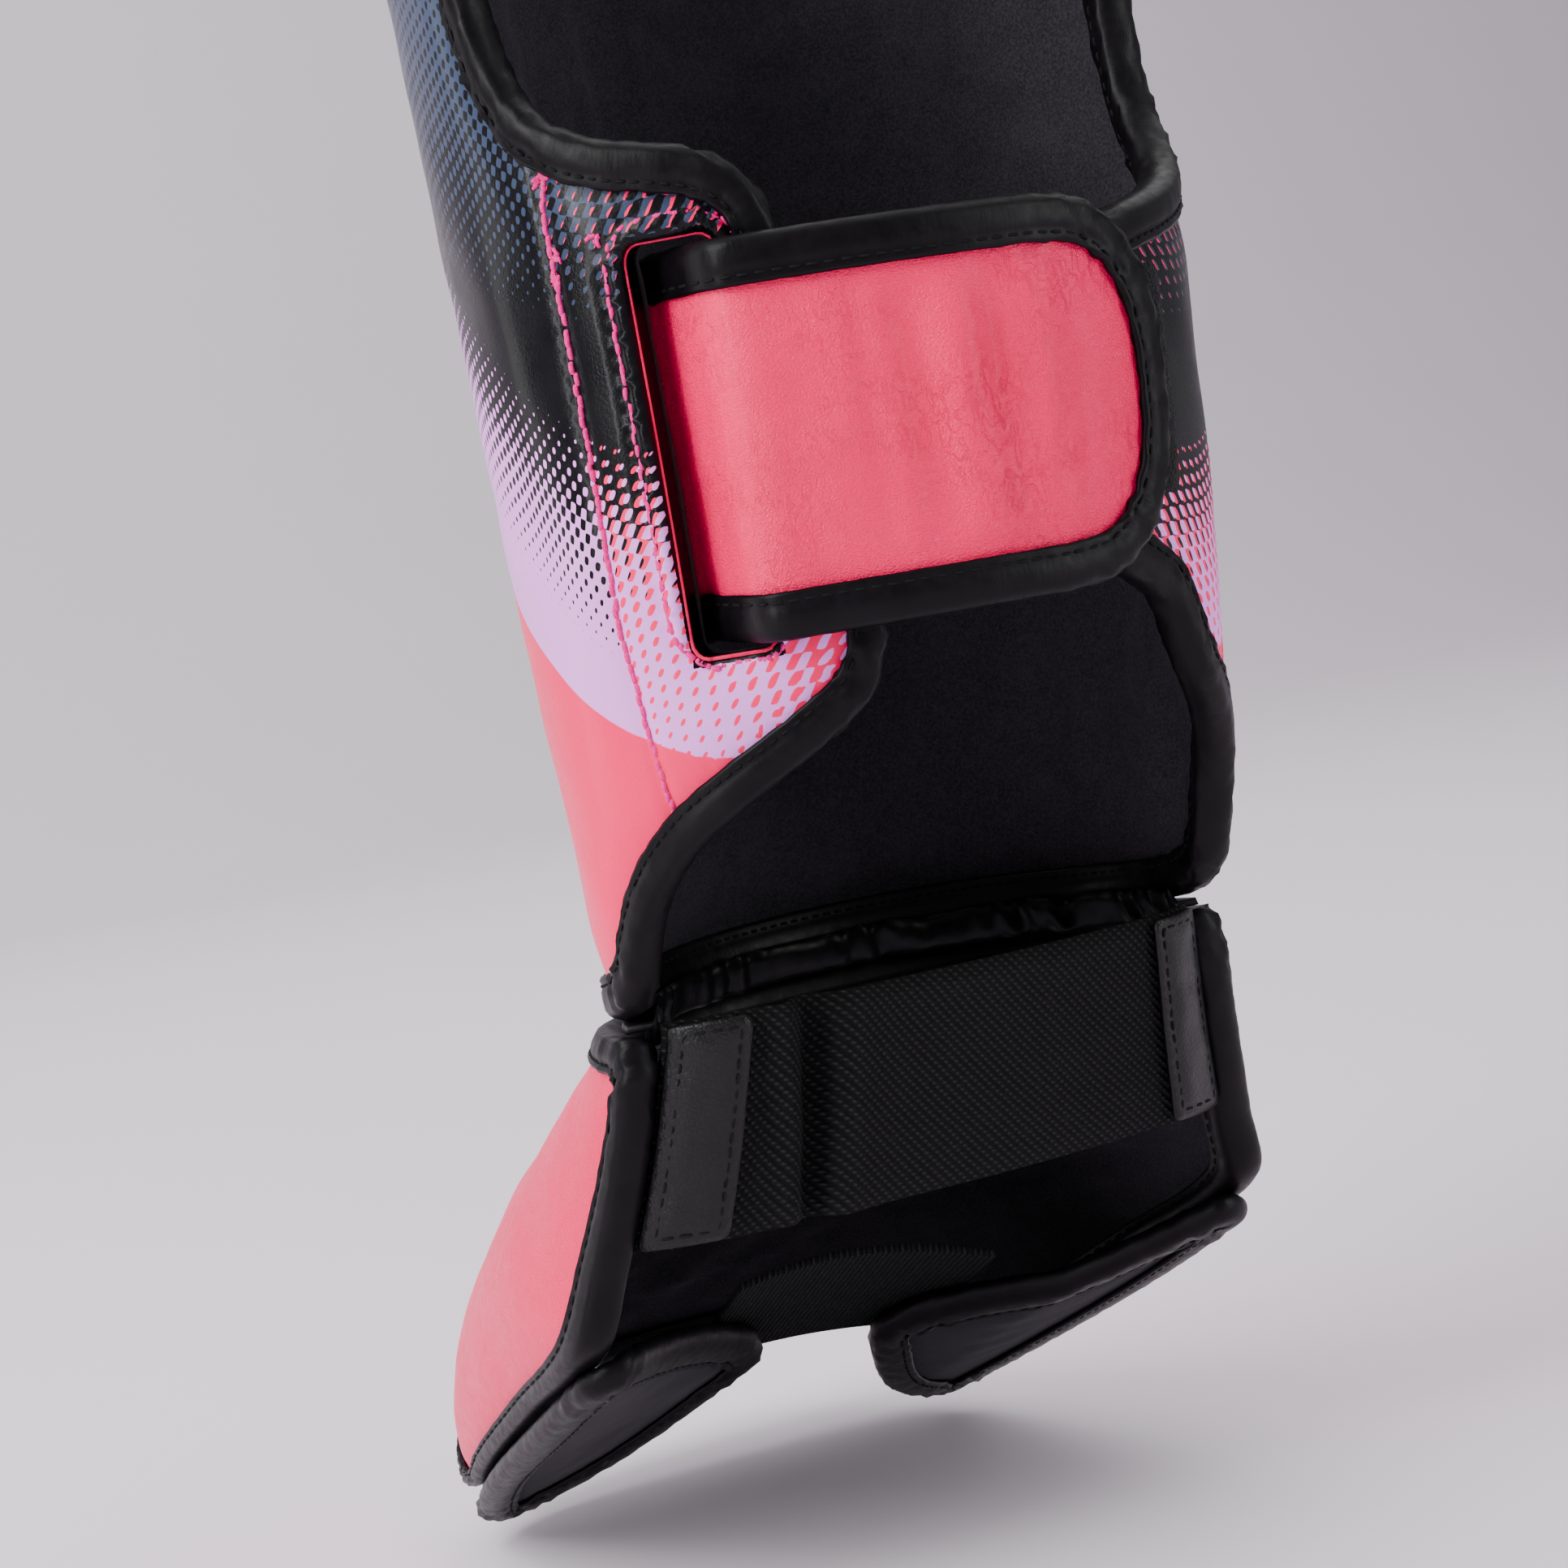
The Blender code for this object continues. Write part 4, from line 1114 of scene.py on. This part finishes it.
def make_studio():
    right, above, back, target = make_camera()
    world = bpy.data.worlds.new("studio")
    world.use_nodes = True
    world.node_tree.nodes["Background"].inputs["Color"].default_value = (0.86, 0.85, 0.885, 1)
    world.node_tree.nodes["Background"].inputs["Strength"].default_value = 0.42
    bpy.context.scene.world = world
    # a floor that turns up into a wall behind: it starts to turn at 2.3 m, with a radius of 1.6 m
    lower = cad_low[2] - 0.0035
    start, radius, turns = 2.3, 1.6, 24
    rows = []
    for k in range(turns + 1):
        turn = math.radians(90 * k / turns)
        rows.append((start + radius * math.sin(turn), lower + radius * (1 - math.cos(turn))))
    profile = [(-4.0, lower)] + rows + [(start + radius, lower + 4.0)]
    verts = [(side * 5.0, y, z) for y, z in profile for side in (-1, 1)]
    faces = [(2 * i, 2 * i + 1, 2 * i + 3, 2 * i + 2) for i in range(len(profile) - 1)]
    floor = make("floor", verts, faces, plain_floor())
    # soft panels, placed from the camera: to the right, up and towards it, then size and power
    for name, across, rise, near, size, power in (("key", -0.75, 0.95, 0.75, (0.8, 1.0), 24),
                                                  ("fill", 1.3, 0.35, 0.5, (0.5, 1.1), 10),
                                                  ("overhead", 0.2, 1.5, -0.6, (2.6, 2.0), 20),
                                                  ("strip", -0.95, 0.35, 0.9, (0.16, 0.9), 10),
                                                  ("side", -1.2, 0.1, -0.25, (0.35, 1.2), 4)):
        where = target + right * across + above * rise + back * near
        area_light(name, where, target, size, power)
    area_light("backdrop", (0.0, 1.2, 2.2), (-0.4, 3.4, 0.6), (3.5, 1.0), 70)


make_studio()


# the shin shell


def pad_thickness(distance, thickest):
    share = np.clip((distance - BINDING_WIDTH - GAP) / PAD_ROLL, 0, 1)
    return EDGE_THICKNESS + (thickest - EDGE_THICKNESS) * share * (2 - share)


def shin_full(points):
    """The whole thickness of the shin's pad, thinner in the wings and towards the border."""
    share = np.maximum(0.0, np.cos(points[:, 0] / SHIN_HALF_WIDTH / 1.3))
    return pad_thickness(distance_to(shin_line, points), WING_PAD + (SHIN_PAD - WING_PAD) * share)


def degrees_path(rows, side=1):
    return np.array([(side * math.radians(a) * SHIN_HALF_WIDTH, z) for a, z in rows])


shin_coarse = smooth_loop([(math.radians(a) * SHIN_HALF_WIDTH, h * SHIN_HEIGHT)
                           for a, h in SHIN_OUTLINE], STATION)
shin_line = finer(shin_coarse)
slot_half = STRAP_WIDTH / 2 + BINDING_GAP + BINDING_WALL + SLOT_MARGIN
slot_mid = STRAP_SLOT * SHIN_HALF_WIDTH
slot_box = rounded_box(slot_mid - SLOT_WIDTH / 2, slot_mid + SLOT_WIDTH / 2,
                       STRAP_HEIGHT - slot_half, STRAP_HEIGHT + slot_half, 0.004, 4)
slot_line = split_long(slot_box, 0.0025)
welt_line = finer(rounded_box(WELT_RIGHT * SHIN_HALF_WIDTH, WELT_LEFT * SHIN_HALF_WIDTH,
                              WELT_LOW, WELT_HIGH, 0.0115, 6), False, 4)
seam_left = smooth_open(degrees_path(SEAM_LINE, -1), 0.002)
seam_right = smooth_open(degrees_path(SEAM_LINE_RIGHT, 1), 0.002)


def shin_relief(points):
    """How far the outer face stands out of the solid's, in metres."""
    slot = distance_to(slot_line, points)
    welt = distance_to(welt_line, points)
    within = inside(welt_line, points)
    near_border = from_border(shin_line, points, 0.012)
    roll = 0.0012 * (1 - (1 - near_border) ** 2)
    ring = np.where(within, np.sin(math.pi * np.clip(welt / (welt + slot + 1e-6), 0, 1)), 0)
    raised = 0.0021 * ring**0.7
    height = roll * np.where(within, 0.5, 1.0) + raised
    height -= 0.0008 * np.exp(-(welt / 0.0018) ** 2)
    for seam in (seam_left, seam_right):
        height -= 0.0008 * np.exp(-(distance_to(seam, points, False) / 0.0022) ** 2)
    soft = ripple(points, 3, 0.045, 2) * 0.00035
    height += soft * near_border
    return height


def crosswise(points, seed, count, low, high, zone):
    """Long narrow creases at seeded places in a band of q, as a sum of ridges."""
    rng = np.random.default_rng(seed)
    total = np.zeros(len(points))
    for _ in range(count):
        start = rng.uniform(low, high)
        lean = rng.uniform(-0.12, 0.12)
        middle = rng.uniform(*zone)
        reach = rng.uniform(0.018, 0.040)
        width = rng.uniform(0.0012, 0.0028)
        off = points[:, 0] - start - lean * (points[:, 1] - middle)
        along = np.exp(-((points[:, 1] - middle) / reach) ** 2)
        total += rng.choice([-1, 1]) * along * np.exp(-(off / width) ** 2)
    return total


def pad_mesh(name, place, pat, line, thickness, seams, relief, material):
    """A pad that air swells between its border and its seams, with the relief on its outer face."""
    full = thickness(pat[0])
    piece = sheet_mesh(name, place, pat, 0 * full, full - LINING - GAP, material)
    flat, side = flat_of(piece)
    hold = np.clip(1.4 - (distance_to(line, flat) - BINDING_WIDTH) / BORDER_HOLD, 0, 1)
    for path, closed in seams:
        hold = np.maximum(hold, np.clip(1.6 - distance_to(path, flat, closed) / SEAM_HOLD, 0, 1))
    puff(piece, np.where(side > 0.5, 1.0, hold))
    refine(piece)
    flat, side = flat_of(piece)
    u, v = flat[:, 0], flat[:, 1]
    normal = unit(place(u, v, -MM + 0 * side) - place(u, v, 0 * side))
    lift = relief(flat) * (side < 0.01)
    move_points(piece, points_of(piece) + normal * lift[:, None])
    return piece


shin_border = finer(inset(shin_coarse, BINDING_WIDTH + 2 * GAP))
shell = pad_mesh("shell_dressed", place_shin, pattern(shin_line, [slot_line], PAD_GRID, [shin_border]),
                 shin_line, shin_full,
                 ((slot_line, True), (welt_line, True), (seam_left, False), (seam_right, False)),
                 shin_relief, PRINT)
stand_for(shell, "shin_shell")

cloth_pattern = pattern(shin_line, [slot_line], CLOTH_GRID, [shin_border])
flat = cloth_pattern[0]
full = shin_full(flat)
folds = crosswise(flat, 11, 16, -0.06, 0.10, (0.17, 0.27))
folds += crosswise(flat, 12, 9, -0.03, 0.09, (0.04, 0.12))
folds += crosswise(flat, 13, 5, 0.035, 0.06, (0.19, 0.24)) * 1.4
inner = 0.0009 * np.clip(ripple(flat, 5, 0.035, 3), -1, 1) + 0.0015 * np.clip(folds, -1.2, 1.8)
inner = np.clip(inner, -0.0006, 0.0026) * from_border(shin_line, flat, 0.015)
lining = sheet_mesh("shin_lining_dressed", place_shin, cloth_pattern, full - LINING, full + inner,
                    LININGS)
stand_for(lining, "shin_lining")
shin_tape = binding("shin_tape", place_shin, shin_coarse, 0.0, EDGE_THICKNESS, 21)
stand_for(shin_tape, "shin_binding")
edge_row("shin_stitches_out", place_shin, shin_coarse, -TAPE_FACE)
edge_row("shin_stitches_in", place_shin, shin_coarse, EDGE_THICKNESS + TAPE_FACE, 1)


def on_shell(points):
    return -shin_relief(points)


for name, path, closed in (("seam_thread_left", seam_left, False),
                           ("seam_thread_right", seam_right, False),
                           ("welt_thread", welt_line, True)):
    trim(stitches(name, place_shin, path, on_shell, PINK_THREAD, 0.0022, 0.0029, 0.00058, closed,
                  wander=0.00026, seed=8))

# frayed knots where a thread was taken round again: degrees from the front, height
KNOTS = ((-114, 0.172), (-114, 0.157), (-113.6, 0.152), (-122.8, 0.158))
rng = np.random.default_rng(77)
for number, (angle, height) in enumerate(KNOTS):
    middle = np.array([math.radians(angle) * SHIN_HALF_WIDTH, height])
    around = middle + rng.normal(0, 0.0011, (7, 2))
    trim(stitches(f"thread_knot_{number}", place_shin, around, on_shell, PINK_THREAD,
                  0.0011, 0.0021, 0.00042, False, wander=0.0003, seed=80 + number))

lay_sheet(lining)


def tube(name, centres, across, up, radii, material, closed, flat_run):
    """A closed tube with its own section at each station: radii is a list of (across, up) rows."""
    count, sides = len(centres), radii.shape[1]
    verts = centres[:, None] + across[:, None] * radii[..., :1] + up[:, None] * radii[..., 1:]
    faces = ring_faces(count, sides, closed)
    if not closed:
        faces.append(tuple(range(sides)))
        faces.append(tuple((count - 1) * sides + k for k in range(sides))[::-1])
    flat = np.stack([np.repeat(flat_run, sides), np.tile(np.arange(sides) * MM, count)], 1)
    piece = make(name, verts.reshape(-1, 3), faces, material, flat)
    face_outward(piece)
    lay_uv(piece)
    return piece


# a coral edging turned through the slot
EDGING_RADIUS = 0.0004
edging = finer(slot_line, False, 2)
centres = place_shin(edging[:, 0], edging[:, 1], np.full(len(edging), -0.0001))
outward = unit(place_shin(edging[:, 0], edging[:, 1], np.full(len(edging), -MM)) - centres)
forward = unit(np.roll(centres, -1, axis=0) - np.roll(centres, 1, axis=0))
sideways = unit(np.cross(forward, outward))
turns = np.linspace(0, 2 * math.pi, 10, endpoint=False)
ring = np.stack([EDGING_RADIUS * np.cos(turns), EDGING_RADIUS * np.sin(turns)], 1)
trim(tube("slot_edging", centres, sideways, outward, np.tile(ring[None], (len(edging), 1, 1)),
          CORAL_STRAP, True, np.arange(len(edging)) * 0.00125))

# the gathered tape that joins the shell to the instep on the inside
angles = np.linspace(math.radians(-83), math.radians(83), 260)
joint_height = SEAM_SHARE * SHIN_HEIGHT - SEAM_DEPTH / 2
run = angles * SHIN_HALF_WIDTH
level = np.full(len(run), joint_height)
centres = place_shin(run, level, np.full(len(run), 0.0))
inner_side = unit(place_shin(run, level, np.full(len(run), MM)) - centres)
upward = unit(np.tile(np.array([[0.0, 0.0, 1.0]]), (len(run), 1)) + inner_side * 0.35)
shape = np.array([(0.9, 0.9), (0.9, -0.9), (6.2, -0.9), (6.5, -4.0), (7.6, -4.4), (8.6, -3.2), (8.9, -1.2),
                  (8.9, 1.2), (8.6, 3.2), (7.6, 4.4), (6.5, 4.0), (6.2, 0.9)]) * MM
rng = np.random.default_rng(91)
radii = np.tile(shape[None], (len(run), 1, 1))
for size in (0.0085, 0.0145, 0.0230, 0.037):
    for k in range(12):
        wave = np.sin(run * 2 * math.pi / size + k * 0.55 + rng.uniform(0, 0.9) + size * 500)
        wave *= 0.5 + 0.5 * np.sin(run * 2 * math.pi / 0.047 + size * 3000)
        # only the roll puckers, not the flange that holds it
        if 2 < k < 11:
            radii[:, k, 0] += wave * 0.00060
            radii[:, k, 1] += wave * 0.00030 * (1 if k > 7 else -1)
trim(tube("ankle_gather", centres, inner_side, upward, radii, TAPE, False, run))


# the instep


instep_coarse = smooth_loop([(math.radians(a) * FOOT_HALF_WIDTH, -s * INSTEP_LENGTH)
                             for a, s in INSTEP_OUTLINE], STATION)
instep_line = finer(instep_coarse)
instep_border = finer(inset(instep_coarse, BINDING_WIDTH + 2 * GAP))


def instep_full(points):
    return pad_thickness(distance_to(instep_line, points), INSTEP_PAD)


def instep_relief(points):
    edge = from_border(instep_line, points, 0.012)
    return 0.0013 * (1 - (1 - edge) ** 2) + ripple(points, 9, 0.05, 2) * 0.0004 * edge


instep = pad_mesh("instep_dressed", place_instep, pattern(instep_line, [], PAD_GRID, [instep_border]),
                  instep_line, instep_full, (), instep_relief, CORAL_INSTEP)
stand_for(instep, "instep_shell")

cloth_pattern = pattern(instep_line, [], CLOTH_GRID, [instep_border])
flat = cloth_pattern[0]
full = instep_full(flat)
inner = np.clip(0.0009 * ripple(flat, 6, 0.03, 3), -0.0006, 0.0014)
inner = inner * from_border(instep_line, flat, 0.015)
instep_lining = sheet_mesh("instep_lining_dressed", place_instep, cloth_pattern, full - LINING,
                           full + inner, LININGS)
stand_for(instep_lining, "instep_lining")
lay_sheet(instep_lining)
instep_tape = binding("instep_tape", place_instep, instep_coarse, 0.0, EDGE_THICKNESS, 22)
stand_for(instep_tape, "instep_binding")
edge_row("instep_stitches_out", place_instep, instep_coarse, -TAPE_FACE)
edge_row("instep_stitches_in", place_instep, instep_coarse, EDGE_THICKNESS + TAPE_FACE, 1)


# the calf strap and its patch


strap_length = (STRAP_START - STRAP_END + 2 * math.pi) * SHIN_HALF_WIDTH
strap_low, strap_high = STRAP_HEIGHT - STRAP_WIDTH / 2, STRAP_HEIGHT + STRAP_WIDTH / 2
# the tongue's end: a half ellipse, a little squared
TONGUE_REACH = STRAP_WIDTH * 0.42
TONGUE_POWER = 0.85
tongue = []
for k in range(13):
    angle = math.radians(-90 + 15 * k)
    forward = TONGUE_REACH * max(math.cos(angle), 0) ** TONGUE_POWER
    rise = math.copysign(abs(math.sin(angle)) ** TONGUE_POWER, math.sin(angle))
    tongue.append((strap_length - TONGUE_REACH + forward, STRAP_HEIGHT + rise * STRAP_WIDTH / 2))
strap_coarse = split_long(np.array([(0, strap_low), *tongue, (0, strap_high)]), STATION)
strap_line = finer(strap_coarse)
strap_pattern = pattern(strap_line, [], STRAP_GRID,
                        [finer(inset(strap_coarse, BINDING_WIDTH + 2 * GAP))])


def strap_swell(points):
    """The plump leather face, with creases across it that are deeper where it leaves the slot."""
    edge = from_border(strap_line, points, 0.010)
    start = 0.040
    value = 0.0007 * (1 - (1 - edge) ** 2)
    value += 0.0006 * crosswise(points, 31, 12, start + 0.018, start + 0.062, (0.09, 0.14)) * edge
    bow = points[:, 0] - start - 0.035 + (points[:, 1] - STRAP_HEIGHT) * 0.10
    value += 0.0015 * np.exp(-((bow - 0.006) / 0.0045) ** 2) * edge
    value -= 0.0013 * np.exp(-((bow + 0.004) / 0.0042) ** 2) * edge
    value += 0.0006 * np.exp(-((bow - 0.021) / 0.0030) ** 2) * edge
    value += 0.00025 * ripple(points, 33, 0.020, 3) * edge
    return np.clip(value, -0.0010, 0.0026)


flat = strap_pattern[0]
swell = strap_swell(flat)
strap = sheet_mesh("calf_strap_dressed", place_strap, strap_pattern, -swell,
                   STRAP_THICKNESS - np.minimum(swell, 0) * 0.3, CORAL_STRAP)
stand_for(strap, "calf_strap")
strap_tape = binding("strap_tape", place_strap, strap_coarse, 0.0, STRAP_THICKNESS, 23)
stand_for(strap_tape, "strap_binding")
row = edge_row("strap_stitches", place_strap, strap_coarse, -TAPE_FACE)
lay_sheet(strap)

patch_middle = (STRAP_END - PATCH_SET_BACK) * SHIN_HALF_WIDTH
patch_box = rounded_box(patch_middle - PATCH_LENGTH / 2, patch_middle + PATCH_LENGTH / 2,
                        STRAP_HEIGHT - PATCH_WIDTH / 2, STRAP_HEIGHT + PATCH_WIDTH / 2, 0.003, 3)
patch_pattern = pattern(split_long(patch_box, PATCH_GRID), [], PATCH_GRID)
flat = patch_pattern[0]
rough = 0.0002 * ripple(flat, 41, 0.006, 2)
patch = sheet_mesh("loop_patch_dressed", place_shin, patch_pattern,
                   -PATCH_CLEARANCE - PATCH_THICKNESS + rough * 0.5, -PATCH_CLEARANCE + 0 * rough, PILE)
stand_for(patch, "loop_patch")
lay_sheet(patch)


# the elastic and its tabs


def elastic_swell(points):
    edge = np.minimum(points[:, 1] - (ELASTIC_TOP - ELASTIC_WIDTH), ELASTIC_TOP - points[:, 1])
    return 0.0003 * np.clip(edge / 0.003, 0, 1) + 0.0003 * ripple(points, 51, 0.02, 2)


def elastic_fold(points):
    """The upright fold beside the left tab: a crest, then a hollow, leaning a little."""
    across = points[:, 0] + HALF_SPAN - TAB_WIDTH - 0.0125 + (points[:, 1] + 0.02) * 0.12
    crest = 0.0030 * np.exp(-((across + 0.0028) / 0.0030) ** 2)
    hollow = 0.0026 * np.exp(-((across - 0.0030) / 0.0026) ** 2)
    return crest - hollow


elastic_low = ELASTIC_TOP - ELASTIC_WIDTH
elastic_box = np.array([(-HALF_SPAN, elastic_low), (HALF_SPAN, elastic_low),
                        (HALF_SPAN, ELASTIC_TOP), (-HALF_SPAN, ELASTIC_TOP)])
elastic_pattern = pattern(split_long(elastic_box, 0.0012), [], ELASTIC_GRID)
flat = elastic_pattern[0]
fold = elastic_fold(flat)
heel = sheet_mesh("heel_elastic_dressed", place_elastic, elastic_pattern, -elastic_swell(flat) - fold,
                  ELASTIC_THICKNESS - fold, ELASTIC)
stand_for(heel, "ankle_elastic")
lay_sheet(heel)

# how far a tab's stitches stand from its edge
TAB_ROW = 0.0022
for sign, node in ((-1, "elastic_tab_left"), (1, "elastic_tab_right")):
    outer, inner_x = sign * HALF_SPAN, sign * (HALF_SPAN - TAB_WIDTH)
    box = rounded_box(min(outer, inner_x), max(outer, inner_x), elastic_low + TAB_MARGIN,
                      ELASTIC_TOP - TAB_MARGIN, 0.0015, 3)
    outline = split_long(box, TAB_GRID)
    tab_pattern = pattern(outline, [], TAB_GRID)
    flat = tab_pattern[0]
    edge = np.clip(distance_to(outline, flat) / 0.0016, 0, 1)
    row_box = rounded_box(min(outer, inner_x) + TAB_ROW, max(outer, inner_x) - TAB_ROW,
                          elastic_low + TAB_MARGIN + TAB_ROW, ELASTIC_TOP - TAB_MARGIN - TAB_ROW,
                          0.0008, 2)
    row_path = split_long(row_box, 0.001)
    swell = 0.0007 * edge - 0.0006 * np.exp(-(distance_to(row_path, flat) / 0.0010) ** 2)
    swell += 0.0003 * ripple(flat, 61, 0.012, 2) * edge
    face = -TAB_CLEARANCE - TAB_THICKNESS
    tab = sheet_mesh(node + "_dressed", place_elastic, tab_pattern, face + 0.0003 - swell,
                     -TAB_CLEARANCE + 0 * swell, GRAIN)
    stand_for(tab, node)
    row = trim(stitches(node + "_stitches", place_elastic, row_path, face + 0.0002, BLACK_THREAD,
                        0.0031, 0.0024, 0.0003))
    lay_sheet(tab)


# under the foot


def wing_outline(sign):
    return smooth_loop([(sign * x * FOOT_HALF_WIDTH, y * INSTEP_LENGTH) for x, y in WING_OUTLINE], STATION)


for sign, node in ((-1, "foot_wing_left"), (1, "foot_wing_right")):
    coarse = wing_outline(sign)
    line = finer(coarse)
    wing_pattern = pattern(line, [], CLOTH_GRID, [finer(inset(coarse, BINDING_WIDTH + 2 * GAP))])
    flat = wing_pattern[0]
    edge = from_border(line, flat, 0.010)
    bend = 0.0003 * ripple(flat, 71, 0.03, 2) * edge
    wing = sheet_mesh(node + "_dressed", place_sole, wing_pattern,
                      -WING_THICKNESS - 0.0007 * edge + bend, 0.0003 * edge + bend, WING_CLOTH_SHADED)
    stand_for(wing, node)
    tape = binding(node + "_tape", place_sole, coarse, -WING_THICKNESS, WING_THICKNESS, 24)
    stand_for(tape, node + "_binding")
    below = edge_row(node + "_stitches_low", place_sole, coarse, -WING_THICKNESS - TAPE_FACE)
    on_top = edge_row(node + "_stitches_top", place_sole, coarse, TAPE_FACE, 1)
    lay_sheet(wing)

reach = float(wing_outline(1)[:, 0].min()) + BINDING_WIDTH + FOOT_STRAP_OVERLAP
foot_low, foot_high = FOOT_STRAP_REACH - FOOT_STRAP_WIDTH / 2, FOOT_STRAP_REACH + FOOT_STRAP_WIDTH / 2
foot_box = np.array([(-reach, foot_low), (reach, foot_low), (reach, foot_high), (-reach, foot_high)])
foot_pattern = pattern(split_long(foot_box, 0.0015), [], FOOT_STRAP_GRID)
flat = foot_pattern[0]
seat = BINDING_GAP + BINDING_WALL + FOOT_STRAP_CLEARANCE
wave = 0.0002 * ripple(flat, 81, 0.02, 2)
foot_strap = sheet_mesh("foot_strap_dressed", place_sole, foot_pattern, seat + 0 * wave,
                        seat + FOOT_STRAP_THICKNESS + wave, ELASTIC_FOOT)
stand_for(foot_strap, "foot_strap")
lay_sheet(foot_strap)
